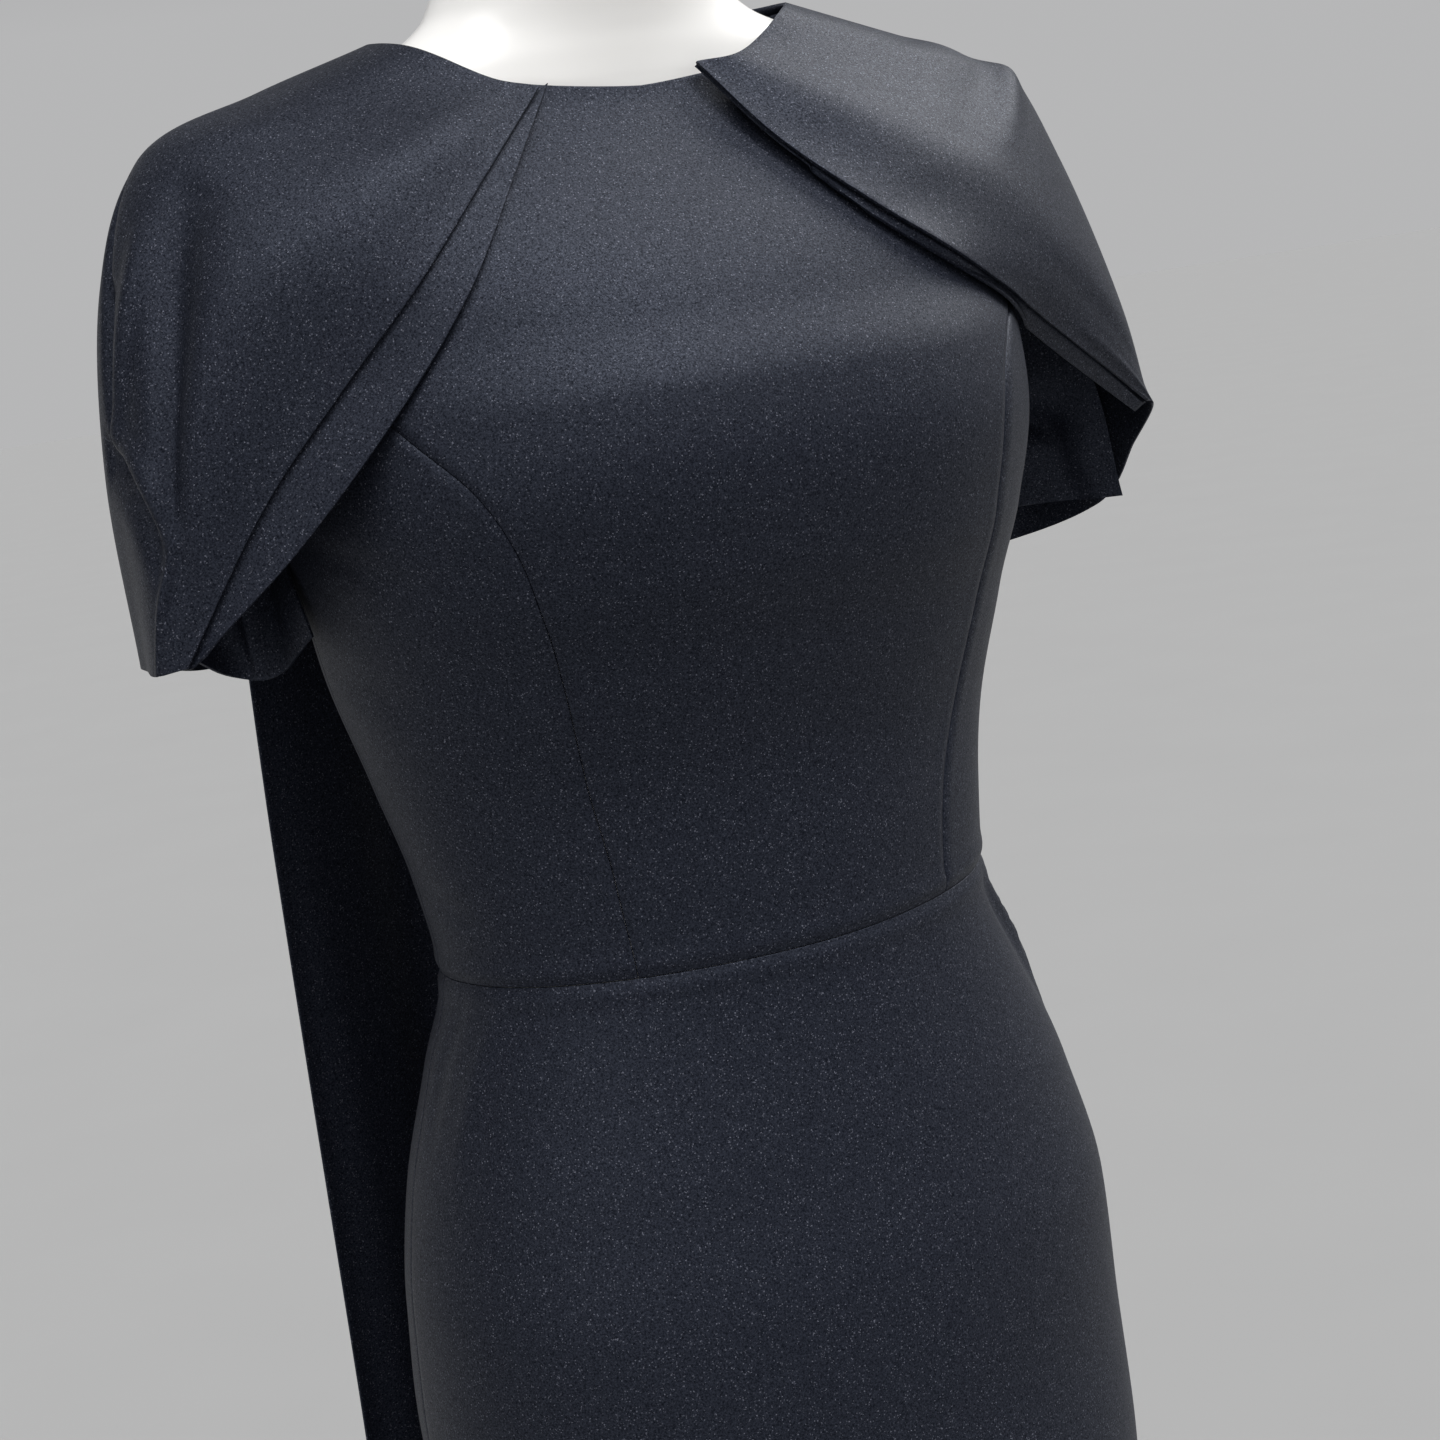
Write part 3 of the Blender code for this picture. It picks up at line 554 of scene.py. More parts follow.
def front_bound(side, height):
    """How far round the front piece reaches on the wearer's left (+) or right (-) side."""
    left = bound_angle(LEFT_BOUND, height)
    right = bound_angle(RIGHT_BOUND, height)
    return np.where(side > 0, left, right)


def panel_heights(up, seam_share, seam_top, top):
    """Rows up a panel: the same along a seam on both its pieces, then on over the shoulder."""
    low = WAIST + SEAM_GAP / 2
    seam_part = 1 - (1 - np.clip(up / seam_share, 0, 1) ** SEAM_SPACING) ** SEAM_SPACING
    over = np.clip((up - seam_share) / max(1 - seam_share, 0.001), 0, 1)
    yoke_part = 1 - (1 - over) ** YOKE_SPACING
    return low + (seam_top - low) * seam_part + (top - seam_top) * yoke_part


def seam_relief(distance, puff, pull):
    """Beside a seam the cloth is pulled in by the stitches and puffs up a little further out."""
    puffed = np.exp(-((np.abs(distance) - PUFF_AWAY) / PUFF_WIDTH) ** 2)
    pulled = np.exp(-(distance / PULL_WIDTH) ** 2)
    return puff * puffed - pull * pulled


def on_dress(angle, height):
    """The fitted dress: its waist seam sits a little higher on the wearer's left side."""
    near_waist = np.exp(-((height - WAIST) / WAIST_SPREAD) ** 2)
    lift = WAIST_LIFT * np.clip(np.sin(angle), 0, 1) ** 1.5 * near_waist
    from_front = np.abs(within_half_turn(angle))
    from_princess = (from_front - front_bound(np.sin(angle), height)) * ROUND_BODY
    above_waist = np.clip((height - WAIST) / RELIEF_FADE, 0, 1)
    below_armhole = np.clip((ARMHOLE_FRONT - height) / RELIEF_FADE, 0, 1)
    on_bodice = above_waist * below_armhole
    relief = (seam_relief(height - WAIST, WAIST_PUFF, WAIST_PULL)
              + seam_relief(from_princess, PRINCESS_PUFF, PRINCESS_PULL) * on_bodice)
    offset = bodice_sink(height) + relief + fitted_crease(angle, height)
    return body_point(angle, height + lift, offset)


def exact_normals(place, shares):
    """Square to the sheet at each point, also along its edges, where two pieces meet."""
    step = 0.002
    across, up = shares.T
    sideways = place(across + step, up) - place(across - step, up)
    onward = place(across, np.minimum(up + step, 1)) - place(across, np.maximum(up - step, 0))
    normals = np.cross(sideways, onward)
    return normals / np.linalg.norm(normals, axis=1)[:, None]


def cut_cloth(name, node, columns, rows, place, fitted=True):
    """One cut piece of crepe: a grid laid in place, given a wall inward, its edges rounded."""
    bm = bmesh.new()
    bmesh.ops.create_grid(bm, x_segments=columns, y_segments=rows, size=1)
    shares = np.array([(vert.co.x, vert.co.y) for vert in bm.verts]) * 0.5 + 0.5
    points = place(shares[:, 0], shares[:, 1])
    for vert, point in zip(bm.verts, points):
        vert.co = point
    bm.normal_update()
    if fitted:
        normals = exact_normals(place, shares)
    else:
        normals = np.array([vert.normal for vert in bm.verts])
    if (normals * points * (1, 1, 0)).sum() < 0:
        normals = -normals
    inward = bm.verts.layers.float_vector.new("inward")
    for vert, normal in zip(bm.verts, normals):
        vert[inward] = Vector(normal) * -CLOTH
    rim = [edge for edge in bm.edges if edge.is_boundary]
    made = bmesh.ops.extrude_face_region(bm, geom=bm.faces[:], use_keep_orig=True)["geom"]
    inner = [vert for vert in made if isinstance(vert, bmesh.types.BMVert)]
    for vert in inner:
        vert.co += vert[inward]
    inner_set = set(inner)
    rim += [edge for edge in bm.edges
            if all(vert in inner_set for vert in edge.verts)
            and any(not all(vert in inner_set for vert in face.verts) for face in edge.link_faces)]
    bmesh.ops.recalc_face_normals(bm, faces=bm.faces[:])
    bm.verts.layers.float_vector.remove(inward)
    bmesh.ops.bevel(bm, geom=rim, offset=EDGE_ROUNDING, segments=2, profile=0.5, affect="EDGES",
                    material=-1, clamp_overlap=True)
    piece = add_piece(name, bm, crepe)
    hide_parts(node)


crepe, tree, shader, place = new_finish("crepe_satin_backed", 0.6)
shader.inputs["Specular Tint"].default_value = SATIN_TINT
pebble = noise(tree, place, scale=1300, detail=3, roughness=0.7)
cells = tree.nodes.new("ShaderNodeTexVoronoi")
cells.inputs["Scale"].default_value = GLINTS_A_METRE
tree.links.new(place, cells.inputs["Vector"])
chance = tree.nodes.new("ShaderNodeSeparateColor")
tree.links.new(cells.outputs["Color"], chance.inputs["Color"])
grain = spread(tree, pebble, PEBBLE_LOW, PEBBLE_HIGH, 0.0, 1.0)
# Painted glints: a few random cells get a bright base colour in place of real sparkles of reflected
# light
painted_glints = spread(tree, chance.outputs["Green"], 0.955, 0.998, 0.0, 0.42)
sheen = spread(tree, pebble, PEBBLE_LOW, PEBBLE_HIGH, 0.06, 0.50)
tree.links.new(sheen, shader.inputs["Specular IOR Level"])
cloth_colour = mixed(tree, grain, NIGHT_BLUE, NIGHT_BLUE_LIT)
tree.links.new(mixed(tree, painted_glints, cloth_colour, PAINTED_GLINT), shader.inputs["Base Color"])
dullness = spread(tree, chance.outputs["Blue"], 0.0, 1.0, 0.48, 0.60)
tree.links.new(dullness, shader.inputs["Roughness"])
raised(tree, shader, pebble, strength=0.40, distance=0.00020)

SEAM_ROWS = 84
YOKE_ROWS = 46
BACK_YOKE_ROWS = 50
FRONT_ROWS = SEAM_ROWS + YOKE_ROWS
BACK_ROWS = SEAM_ROWS + BACK_YOKE_ROWS
FRONT_COLUMNS = 110
SIDE_COLUMNS = 60
BACK_COLUMNS = 66
SIDES = ((+1, "left"), (-1, "right"))


def bodice_front(across, up):
    """The centre front, between the two princess seams and up over the chest to the neckline."""
    side = across * 2 - 1
    top = neck_height(np.clip(side, -1, 1) * math.pi / 2)
    height = panel_heights(up, SEAM_ROWS / FRONT_ROWS, ARMHOLE_FRONT, top)
    reach = front_bound(side, height) - seam_angle(height)
    return on_dress(side * reach, height)


def bodice_side(side):
    """A side front, from the princess seam to the side seam, its top curved for the arm."""
    def place(across, up):
        curve = np.abs(np.sin(across * math.pi / 2)) ** 1.2
        armhole = ARMHOLE_FRONT - (ARMHOLE_FRONT - UNDERARM) * curve
        height = panel_heights(up, 1, armhole, armhole)
        gap = seam_angle(height)
        inner = front_bound(side, height) + gap
        outer = math.radians(SIDE_SEAM) - gap
        return on_dress(side * (inner + (outer - inner) * across), height)
    return place


def bodice_back(side):
    """Half the back, from the side seam and the armhole to the centre back."""
    def place(across, up):
        top = neck_height(math.pi - np.clip(across, 0, 1) * math.pi / 2)
        height = panel_heights(up, SEAM_ROWS / BACK_ROWS, UNDERARM, top)
        gap = seam_angle(height)
        reach = math.pi - bound_angle(BACK_BOUND, height) - 2 * gap
        return on_dress(side * (math.pi - gap - reach * across), height)
    return place


cut_cloth("front_bodice", "bodice_front", FRONT_COLUMNS, FRONT_ROWS, bodice_front)
for side, hand in SIDES:
    cut_cloth("side_front_" + hand, "bodice_side_front_" + hand, SIDE_COLUMNS, SEAM_ROWS,
              bodice_side(side))
    cut_cloth("back_bodice_" + hand, "bodice_back_" + hand, BACK_COLUMNS, BACK_ROWS,
              bodice_back(side))

# ------------------------------------------------------------
# Skirt: one front and two backs, fitted over the hips and narrowed to the knee. The pieces are
# seamed to each other at the sides and centre back and to the bodice at the waist.
KNEE = 0.490
SKIRT_ROWS = 120
SKIRT_SPACING = 1.35
SKIRT_COLUMNS = {"front": 110, "back": 50}
BACK_SEAM = 180.0
ROUND_THE_BACK = 360.0 - SIDE_SEAM

# The three pieces round the skirt, and round the flounce: which, on which hand, and from where
# to where in degrees
THREE_ROUND = (
    ("front", "", -SIDE_SEAM, SIDE_SEAM),
    ("back", "_left", SIDE_SEAM, BACK_SEAM),
    ("back", "_right", BACK_SEAM, ROUND_THE_BACK),
)


def skirt_piece(start, end):
    """One piece of the skirt, from the waist seam down to the knee seam."""
    def place(across, down):
        fallen = np.clip(down, 0, 1) ** SKIRT_SPACING
        height = WAIST - SEAM_GAP / 2 - (WAIST - KNEE - SEAM_GAP) * fallen
        gap = seam_angle(height)
        low = math.radians(start) + gap
        high = math.radians(end) - gap
        return on_dress(low + (high - low) * across, height)
    return place


for which, hand, start, end in THREE_ROUND:
    cut_cloth(which + "_skirt" + hand, "skirt_" + which + hand, SKIRT_COLUMNS[which], SKIRT_ROWS,
              skirt_piece(start, end))

# ------------------------------------------------------------
# Flounce: cut as three wide curved pieces of the same crepe, the mermaid's tail. They hang in
# deep flutes from the knee seam to a hem just above the floor.
HEM = 0.015
FLUTES = 13
FLARE_CURVE = 1.15
FLUTE_DEPTH = 0.030
HEM_HALF_WIDTH = 0.375
HEM_HALF_DEPTH = 0.350
FLOUNCE_ROWS = 56
FLOUNCE_COLUMNS = {"front": 300, "back": 130}
SMALL_FLUTE_DEPTH = 0.0035


def flounce_ring(angle, down):
    """Flared, fluted ring: its flutes start at the knee seam and deepen to the hem."""
    knee = along(BODY, np.full_like(down, KNEE))
    flare = down ** FLARE_CURVE
    half_width = knee[..., 0] + (HEM_HALF_WIDTH - knee[..., 0]) * flare
    half_depth = HEM_HALF_DEPTH * flare
    front = knee[..., 1] * (1 - flare) + half_depth
    back = knee[..., 2] * (1 - flare) + half_depth
    middle = knee[..., 3] * (1 - flare)
    uneven = angle + 0.11 * np.sin(2 * angle + 0.7) + 0.04 * np.sin(5 * angle)
    flute = FLUTE_DEPTH * down ** 1.1 * (0.85 + 0.15 * np.sin(3 * angle)) * np.cos(FLUTES * uneven)
    small = SMALL_FLUTE_DEPTH * down ** 2 * np.sin(2 * FLUTES * uneven + 1.1 + 2.5 * down)
    square_front = knee[..., 4] * (1 - flare) + 2 * flare
    square_back = knee[..., 5] * (1 - flare) + 2 * flare
    section = np.stack([half_width, front, back, middle, square_front, square_back], axis=-1)
    height = KNEE - SEAM_GAP / 2 - (KNEE - SEAM_GAP / 2 - HEM) * down
    return section_points(section, angle, height, flute + small)


def flounce_piece(start, end):
    """One piece of the flounce, from the knee seam down to the hem."""
    def place(across, down):
        down = np.clip(down, 0, 1)
        gap = seam_angle(np.full_like(down, KNEE))
        low = math.radians(start) + gap
        high = math.radians(end) - gap
        return flounce_ring(low + (high - low) * across, down)
    return place


for which, hand, start, end in THREE_ROUND:
    cut_cloth(which + "_flounce" + hand, "flounce_" + which + hand, FLOUNCE_COLUMNS[which],
              FLOUNCE_ROWS, flounce_piece(start, end))

# ------------------------------------------------------------
# Cape sleeves: a drape over each shoulder, sewn in at the neckline and hanging open under the
# arm. Its front edge is a fold, and the cloth breaks into a few soft folds at the arm.
LAYER_GAP = 0.0020
BAND_DROP_RIGHT = 0.0026
BAND_DROP_LEFT = 0.0028

# In millimetres: x outward, y to the back, z up. A row is a spoke of the drape, and its six
# points run from the neckline over the shoulder and down the arm to the hem.
SLEEVE_RIGHT = {
    "front fold": ((46, -40, 1387), (81, -59, 1357), (122, -72, 1318),
                   (157, -65, 1282), (190, -55, 1244), (223, -38, 1190)),
    "front": ((66, -33, 1393), (110, -47, 1372), (156, -48, 1350),
              (192, -44, 1318), (220, -38, 1262), (232, -27, 1188)),
    "top": ((93, 0, 1411), (140, 6, 1398), (188, 8, 1381),
            (214, 4, 1335), (226, 0, 1270), (226, 2, 1187)),
    "outer back": ((88, 25, 1413), (138, 38, 1391), (184, 42, 1365),
                   (208, 38, 1322), (219, 34, 1256), (217, 34, 1185)),
    "back": ((84, 36, 1413), (122, 62, 1382), (155, 80, 1345),
             (180, 82, 1306), (188, 72, 1242), (180, 66, 1176)),
    "back edge": ((79, 42, 1412), (105, 73, 1378), (124, 90, 1342),
                  (136, 88, 1302), (144, 74, 1240), (140, 68, 1186)),
}
SLEEVE_LEFT = {
    "front fold": ((24, -40, 1390), (43, -64, 1356), (71, -84, 1326),
                   (110, -88, 1298), (172, -55, 1263), (243, -17, 1224)),
    "front": ((47, -39, 1393), (92, -56, 1366), (140, -60, 1340),
              (185, -50, 1303), (222, -32, 1262), (252, -8, 1219)),
    "top": ((91, -1, 1412), (146, 4, 1395), (197, 4, 1381),
            (222, 3, 1338), (243, 5, 1272), (256, 14, 1203)),
    "outer back": ((88, 25, 1413), (140, 38, 1391), (188, 42, 1366),
                   (219, 40, 1322), (241, 40, 1256), (252, 42, 1175)),
    "back": ((84, 36, 1413), (122, 62, 1382), (158, 82, 1345),
             (190, 86, 1302), (210, 84, 1236), (216, 84, 1160)),
    "back edge": ((79, 42, 1412), (105, 73, 1378), (124, 90, 1342),
                  (136, 90, 1302), (148, 80, 1240), (154, 78, 1166)),
}

# Folds of the sleeves: from (round, out) to (round, out), both as shares of the drape, then how
# far the fold bows, its depth (in is positive) and its width in metres
FOLDS_RIGHT = (
    (.455, .44, .395, .66, -.004, +.0040, .0045),
    (.400, .62, .385, .80, -.003, +.0050, .0050),
    (.355, .54, .350, .82, +.002, -.0030, .0055),
    (.375, .77, .150, .870, +.002, -.0030, .0050),
    (.440, .80, .190, .890, +.003, +.0095, .0055),
    (.150, .86, .185, 1.00, -.002, -.0022, .0050),
    (.310, .46, .130, .90, -.007, +.0072, .0095),
    (.900, .80, .900, 1.02, +.002, -.0030, .0060),
    (.660, .56, .640, 1.02, +.004, +.0050, .0090),
    (.820, .48, .790, .98, -.004, +.0040, .0100),
    (.560, .30, .600, .60, +.004, +.0018, .0140),
)
FOLDS_LEFT = (
    (.240, .36, .560, .33, +.003, +.0042, .0150),
    (.260, .43, .540, .425, +.002, -.0022, .0070),
    (.620, .62, .600, 1.02, +.004, +.0060, .0080),
    (.800, .54, .780, 1.00, -.004, +.0050, .0100),
    (.480, .40, .440, .74, +.004, +.0016, .0120),
    (.120, .60, .200, .96, +.004, +.0012, .0120),
    (.060, .80, .120, 1.00, +.002, -.0012, .0070),
    (.920, .60, .900, 1.00, +.003, -.0030, .0080),
)
SLEEVE_ROUND = 0.30
SLEEVE_OUT = 0.26
SLEEVE_COLUMNS = 150
SLEEVE_ROWS = 130
FOLD_PRESS = 0.0006
BAND_REACH = 0.16
DRAPE_PASSES = (90, 40, 14, 4)

body_heights = np.linspace(1.10, 1.414, 220)
body_angles = np.radians(np.arange(0, 360, 1.5))
body_grid = body_point(body_angles[None, :], body_heights[:, None])
body_faces = []
for row in range(len(body_heights) - 1):
    for column in range(len(body_angles)):
        here = row * len(body_angles) + column
        beside = row * len(body_angles) + (column + 1) % len(body_angles)
        body_faces.append((here, beside, beside + len(body_angles), here + len(body_angles)))
BODY_TREE = BVHTree.FromPolygons([Vector(point) for point in body_grid.reshape(-1, 3)], body_faces)


def lay_clear(points, least):
    """Move each point out, square to the body, until it is the least distance off."""
    moved = points.copy()
    for index, (point, distance) in enumerate(zip(points, np.broadcast_to(least, len(points)))):
        nearest, normal, _, _ = BODY_TREE.find_nearest(Vector(point))
        height_off = (Vector(point) - nearest).dot(normal)
        if height_off < distance:
            moved[index] = nearest + normal * distance
    return moved


def soften(field, passes):
    """Even out a field over a piece's grid, so that the cloth bends softly."""
    for _ in range(passes):
        padded = np.pad(field, ((1, 1), (1, 1), (0, 0)), mode="edge")
        beside = padded[:-2, 1:-1] + padded[2:, 1:-1] + padded[1:-1, :-2] + padded[1:-1, 2:]
        field = (beside + 2 * field) / 6
    return field


def drape_over(points, least, columns):
    """Lift a drape clear of the body in soft steps, so that it bridges hollows as cloth does."""
    for passes in DRAPE_PASSES:
        lifted = (lay_clear(points, least) - points).reshape(-1, columns + 1, 3)
        points = points + soften(lifted, passes).reshape(-1, 3)
    return points


def spline(points, position):
    """A smooth curve through evenly spaced points, read at a share 0 to 1 of its length."""
    last = len(points) - 1
    padded = np.concatenate([2 * points[:1] - points[1:2], points, 2 * points[-1:] - points[-2:-1]])
    spot = np.clip(position, 0, 1) * last
    row = np.minimum(spot.astype(int), last - 1)
    t = (spot - row)[:, None]
    before, start, end, after = (padded[row + step, np.arange(len(row))] if points.ndim == 3
                                 else padded[row + step] for step in range(4))
    curve = (2 * start + (end - before) * t + (2 * before - 5 * start + 4 * end - after) * t ** 2
             + (3 * start - before - 3 * end + after) * t ** 3)
    return curve / 2


def drape_points(spokes, around, out):
    """Points of a sleeve: first out along every spoke, then round across the spokes."""
    stations = [spline(np.array(spoke, float) / 1000, out) for spoke in spokes]
    return spline(np.stack(stations), around)


def drape_normals(spokes, around, out):
    """Square to the drape at each point, pointing away from the body."""
    step = 0.01
    around = np.clip(around, step, 1 - step)
    out = np.clip(out, step, 1 - step)
    ahead = drape_points(spokes, around + step, out) - drape_points(spokes, around - step, out)
    onward = drape_points(spokes, around, out + step) - drape_points(spokes, around, out - step)
    normal = np.cross(onward, ahead)
    return normal / np.linalg.norm(normal, axis=1)[:, None]


def laid_flat(folds, size_round, size_out):
    """Folds given in shares of a drape, in metres on its flat cloth."""
    return [(a * size_round, b * size_out, c * size_round, d * size_out, bow, deep, width)
            for a, b, c, d, bow, deep, width in folds]


def sleeve_place(spokes, folds, drop, side):
    """A cape sleeve, laid clear of the body and of its band, its folds pressed in."""
    flat_folds = laid_flat(folds, SLEEVE_ROUND, SLEEVE_OUT)

    def place(around, out):
        points = drape_points(spokes.values(), around, out)
        share = np.clip((around - BAND_REACH) / BAND_REACH, 0, 1)
        above_band = 1 - share * share * (3 - 2 * share)
        least = bodice_sink(points[:, 2]) + WALL + LAYER_GAP + drop * above_band
        points = drape_over(points, least, SLEEVE_COLUMNS)
        pressed = crease_depth(around * SLEEVE_ROUND, out * SLEEVE_OUT, flat_folds)
        points = points - drape_normals(spokes.values(), around, out) * pressed[:, None]
        return drape_over(points, least - FOLD_PRESS, SLEEVE_COLUMNS) * (side, 1, 1)
    return place


for side, hand, spokes, folds, drop in (
        (+1, "left", SLEEVE_LEFT, FOLDS_LEFT, BAND_DROP_LEFT),
        (-1, "right", SLEEVE_RIGHT, FOLDS_RIGHT, BAND_DROP_RIGHT)):
    cut_cloth("cape_sleeve_" + hand, "sleeve_" + hand, SLEEVE_COLUMNS, SLEEVE_ROWS,
              sleeve_place(spokes, folds, drop, side), fitted=False)

# ------------------------------------------------------------
# Turned-back bands: a folded strip along the front edge of each cape sleeve, from the neckline
# to the hem. Its inner edge lies under the sleeve's fold, so two or three edges show together.
BAND_EDGE_RIGHT = ((41, -37, 1388), (70, -58, 1355), (104, -76, 1312),
                   (140, -76, 1272), (180, -62, 1229), (217, -41, 1194))
BAND_EDGE_LEFT = ((26, -38, 1387), (44, -60, 1354), (70, -83, 1321),
                  (110, -83, 1292), (167, -51, 1258), (238, -13, 1219))
BAND_TUCK = 0.10
BAND_SHOWN = 0.6
BAND_COLUMNS = 24
BAND_ROWS = 150


def band_place(spokes, edge, drop, side):
    """A band, from its own front edge to where it is tucked under the sleeve's fold."""
    def place(across, out):
        under = np.clip((across - BAND_SHOWN) / (1 - BAND_SHOWN), 0, 1) * BAND_TUCK
        above = drape_points(spokes.values(), under, out)
        above = lay_clear(above, bodice_sink(above[:, 2]) + WALL + LAYER_GAP + drop)
        covered = above - drape_normals(spokes.values(), under, out) * drop
        outer = spline(np.array(edge, float) / 1000, out)
        share = np.clip(across / BAND_SHOWN, 0, 1)[:, None]
        points = outer + (covered - outer) * share
        least = bodice_sink(points[:, 2]) + WALL + LAYER_GAP
        return lay_clear(points, least) * (side, 1, 1)
    return place


for side, hand, spokes, edge, drop in (
        (+1, "left", SLEEVE_LEFT, BAND_EDGE_LEFT, BAND_DROP_LEFT),
        (-1, "right", SLEEVE_RIGHT, BAND_EDGE_RIGHT, BAND_DROP_RIGHT)):
    cut_cloth("band_" + hand, "sleeve_band_" + hand, BAND_COLUMNS, BAND_ROWS,
              band_place(spokes, edge, drop, side), fitted=False)

# ------------------------------------------------------------
# Inner flaps: a second, shorter layer hangs inside each cape sleeve, sewn in along the lower
# armhole and otherwise free. Its front corner and hem show under the sleeve.
FLAP_GAP = 0.0007
FLAP_COLUMNS = 70
FLAP_ROWS = 60
# In millimetres, as the sleeves: rows from the underarm out to the free front edge
FLAP_RIGHT = {
    "underarm": ((159, 20, 1228), (161, 12, 1216), (161, 4, 1202), (158, 3, 1188)),
    "inner": ((152, 45, 1255), (162, 38, 1232), (167, 30, 1205), (168, 24, 1173)),
    "outer": ((145, 66, 1295), (172, 54, 1262), (182, 42, 1220), (180, 34, 1174)),
    "free edge": ((148, 72, 1325), (190, 52, 1296), (208, 34, 1246), (207, 22, 1190)),
}
FLAP_LEFT = {
    "underarm": ((159, 20, 1228), (163, 14, 1214), (166, 10, 1198), (168, 10, 1181)),
    "inner": ((152, 45, 1255), (172, 44, 1238), (186, 42, 1212), (190, 38, 1181)),
    "outer": ((145, 66, 1295), (183, 54, 1268), (212, 44, 1225), (224, 38, 1180)),
    "free edge": ((150, 72, 1325), (206, 46, 1298), (239, 23, 1243), (250, 20, 1179)),
}
FLAP_FOLDS_RIGHT = (
    (.50, .20, .50, 1.02, +.002, -.0035, .0060),
    (.26, .30, .24, 1.02, -.002, +.0022, .0060),
    (.78, .30, .76, 1.02, +.002, +.0030, .0080),
)
FLAP_FOLDS_LEFT = (
    (.52, .56, .84, .80, +.003, +.0060, .0050),
    (.60, .50, .90, .66, +.003, -.0025, .0060),
    (.86, .80, .90, 1.02, +.001, -.0020, .0070),
)
FLAP_ROUND = 0.10
FLAP_OUT = 0.11


def flap_place(spokes, folds, side):
    """An inner flap, clear of the body, its folds pressed in."""
    flat_folds = laid_flat(folds, FLAP_ROUND, FLAP_OUT)

    def place(around, out):
        points = drape_points(spokes.values(), around, out)
        pressed = crease_depth(around * FLAP_ROUND, out * FLAP_OUT, flat_folds)
        points = points - drape_normals(spokes.values(), around, out) * pressed[:, None]
        return lay_clear(points, bodice_sink(points[:, 2]) + WALL + FLAP_GAP) * (side, 1, 1)
    return place


for side, hand, spokes, folds in ((+1, "left", FLAP_LEFT, FLAP_FOLDS_LEFT),
                                  (-1, "right", FLAP_RIGHT, FLAP_FOLDS_RIGHT)):
    cut_cloth("inner_flap_" + hand, "sleeve_flap_" + hand, FLAP_COLUMNS, FLAP_ROWS,
              flap_place(spokes, folds, side), fitted=False)

# ------------------------------------------------------------
# Back cape: two long halves joined down the centre back, sewn in at the neckline. It falls free
# over the hips and the flounce in long soft folds to a hem just above the floor.
CAPE_HEM = 0.022
CAPE_FOLDS = 2.5
CAPE_SEWN_FROM = 1.39
CAPE_COLUMNS = 60
CAPE_ROWS = 170
CAPE_SPACING = 1.25
# Height, half width, y at the centre back, y at the side edge, and the depth of the folds
CAPE = np.array([
    (1.4075, .0730, .0560, .0440, .0000),
    (1.3940, .0900, .0740, .0640, .0000),
    (1.3800, .1020, .0860, .0780, .0000),
    (1.3600, .1150, .1030, .0930, .0000),
    (1.3350, .1270, .1190, .1040, .0000),
    (1.3000, .1370, .1260, .1080, .0005),
    (1.2500, .1460, .1280, .1060, .0010),
    (1.1800, .1520, .1290, .1040, .0020),
    (1.0800, .1530, .1310, .1060, .0040),
    (0.9600, .1530, .1350, .1080, .0050),
    (0.8500, .1530, .1420, .1100, .0050),
    (0.7000, .1540, .1480, .1140, .0070),
    (0.5500, .1580, .1660, .1240, .0090),
    (0.4400, .1640, .2020, .1500, .0100),
    (0.3000, .1780, .2860, .2280, .0110),
    (0.1600, .1960, .3610, .3000, .0120),
    (CAPE_HEM, .2120, .4260, .3620, .0130),
])


def cape_place(side):
    """Half the cape, from the centre back to its side edge and from the neckline to the hem."""
    def place(across, down):
        height = CAPE[0, 0] + (CAPE_HEM - CAPE[0, 0]) * down ** CAPE_SPACING
        width, middle, edge, fold = np.moveaxis(along(CAPE[::-1], height), -1, 0)
        x = SEAM_GAP / 2 + (width - SEAM_GAP / 2) * across
        y = middle + (edge - middle) * across ** 2
        y = y + fold * (1 - np.cos(across * CAPE_FOLDS * 2 * math.pi)) / 2 * (1 - 0.3 * across)
        y = y + 0.10 * fold * np.sin(across * 31 + down * 9 + side) * np.minimum(across * 6, 1)
        sewn_in = np.where(height > CAPE_SEWN_FROM, bodice_sink(height) + WALL + SEAM_GAP, -1)
        return lay_clear(np.stack([x, y, height], axis=-1), sewn_in) * (side, 1, 1)
    return place


for side, hand in SIDES:
    cut_cloth("back_cape_" + hand, "cape_" + hand, CAPE_COLUMNS, CAPE_ROWS, cape_place(side),
              fitted=False)

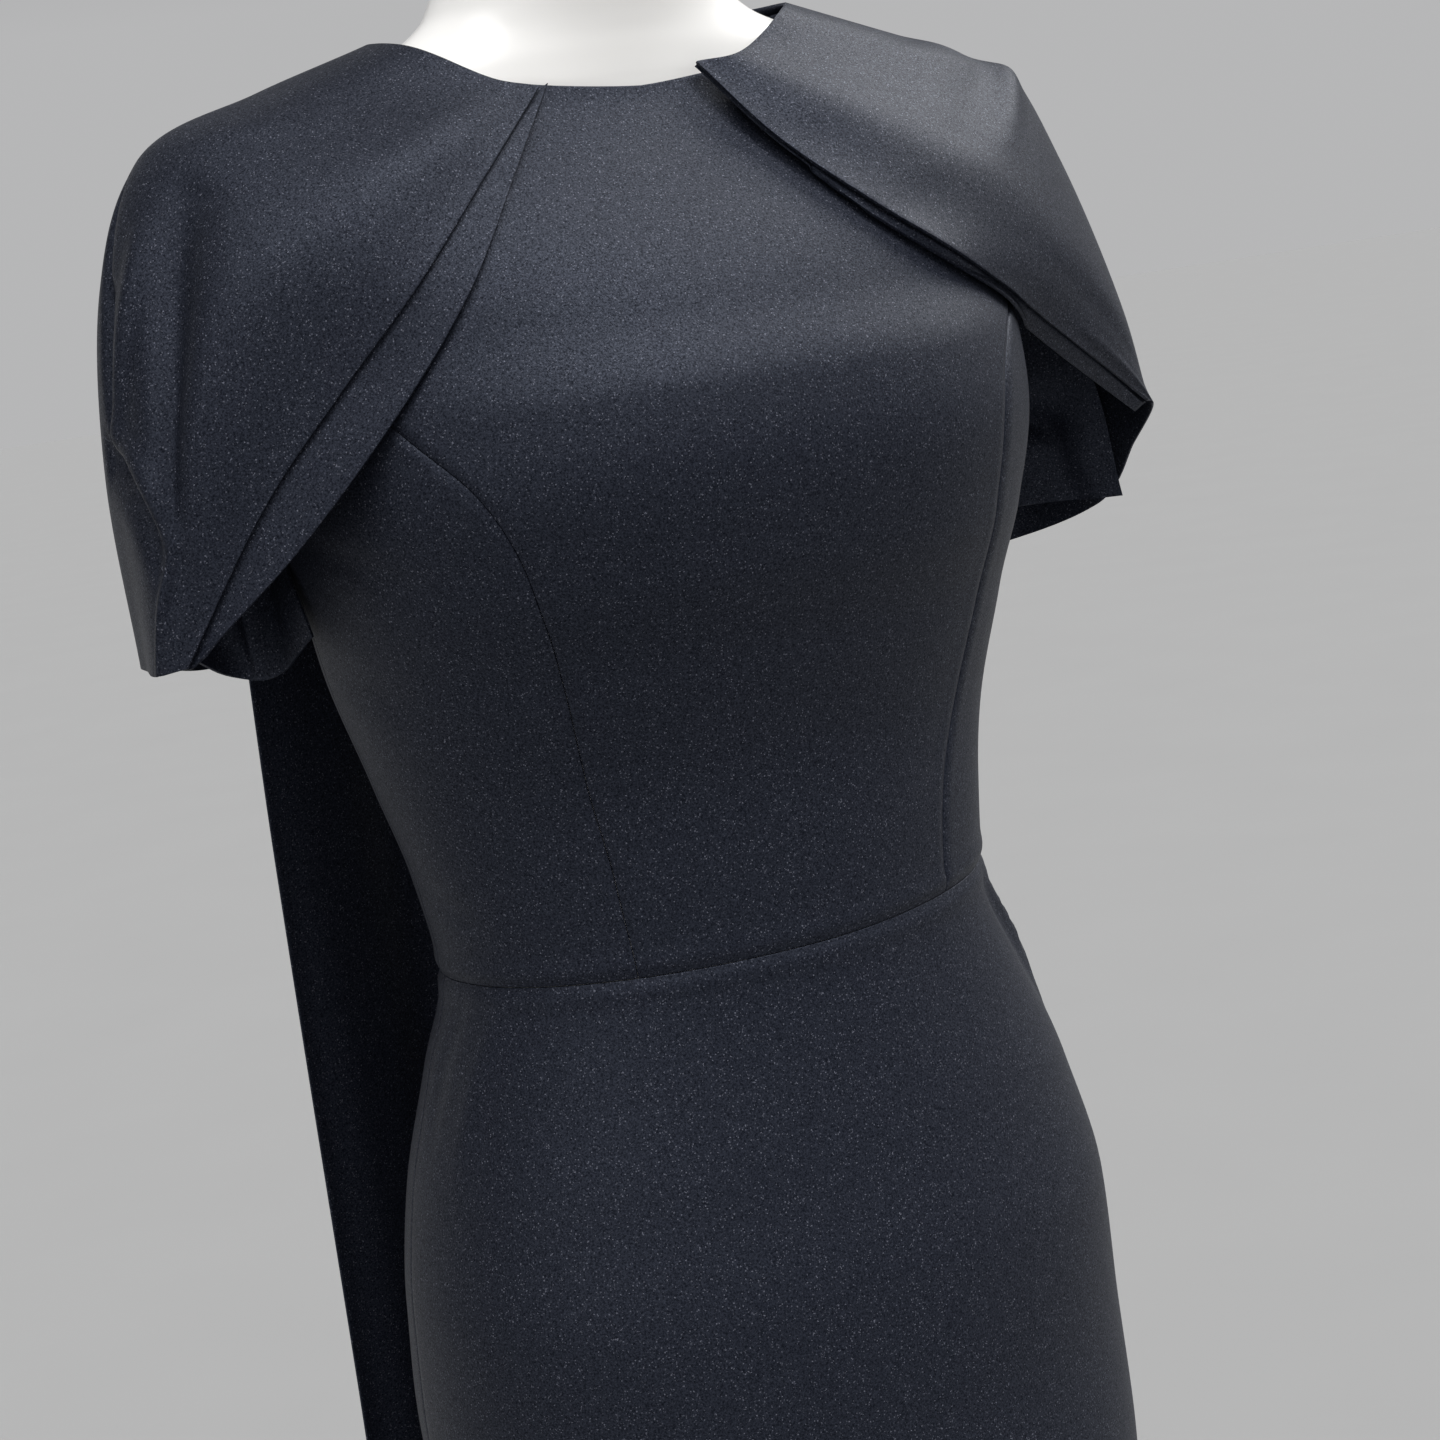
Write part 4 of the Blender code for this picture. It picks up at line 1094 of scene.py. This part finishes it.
# ------------------------------------------------------------
# Floor and light: a plain pale floor, two large soft lights high ahead of the dress, one from
# the wearer's left, weak ones low on the right and behind, and a surrounding as pale as the floor.
FLOOR_SIZE = 40.0
FLOOR_GREY = (0.293, 0.293, 0.293, 1)
FLOOR_GREY_LIGHTER = (0.305, 0.305, 0.305, 1)
HORIZON_GREY = (0.470, 0.471, 0.476, 1)
CEILING_GREY = (0.060, 0.061, 0.064, 1)
HORIZON_END = 0.10
CEILING_START = 0.45

# Lights: where they come from, in degrees round towards the wearer's left and in degrees up,
# how wide they look in degrees, and their strength
LIGHTS = (
    ("key", 30.0, 60.0, 30.0, 2.2),
    ("front", -40.0, 58.0, 40.0, 1.4),
    ("side", 100.0, 40.0, 35.0, 1.9),
    ("low", -50.0, 6.0, 50.0, 0.45),
    ("rear", -165.0, 45.0, 60.0, 0.35),
)

pale, tree, shader, place = new_finish("floor_pale", 0.7)
shader.inputs["Specular IOR Level"].default_value = 0.0
cloudy = noise(tree, place, scale=3, detail=3)
tree.links.new(mixed(tree, cloudy, FLOOR_GREY, FLOOR_GREY_LIGHTER), shader.inputs["Base Color"])
bm = bmesh.new()
bmesh.ops.create_grid(bm, x_segments=4, y_segments=4, size=FLOOR_SIZE)
mesh = bpy.data.meshes.new("floor")
bm.to_mesh(mesh)
bm.free()
mesh.materials.append(pale)
floor = bpy.data.objects.new("floor", mesh)
bpy.context.scene.collection.objects.link(floor)

for name, round_by, height, softness, power in LIGHTS:
    lamp_data = bpy.data.lights.new(name, "SUN")
    lamp_data.angle = math.radians(softness)
    lamp_data.energy = power
    lamp = bpy.data.objects.new(name, lamp_data)
    lamp.rotation_euler = (math.radians(90 - height), 0, math.radians(round_by))
    bpy.context.scene.collection.objects.link(lamp)

world = bpy.data.worlds.new("surrounding")
world.use_nodes = True
sky = world.node_tree
skyward = sky.nodes.new("ShaderNodeSeparateXYZ")
sky.links.new(sky.nodes.new("ShaderNodeTexCoord").outputs["Generated"], skyward.inputs["Vector"])
upper = spread(sky, skyward.outputs["Z"], HORIZON_END, CEILING_START, 0.0, 1.0)
backdrop = sky.nodes["Background"].inputs["Color"]
sky.links.new(mixed(sky, upper, HORIZON_GREY, CEILING_GREY), backdrop)
bpy.context.scene.world = world
bpy.context.scene.view_settings.view_transform = "Standard"
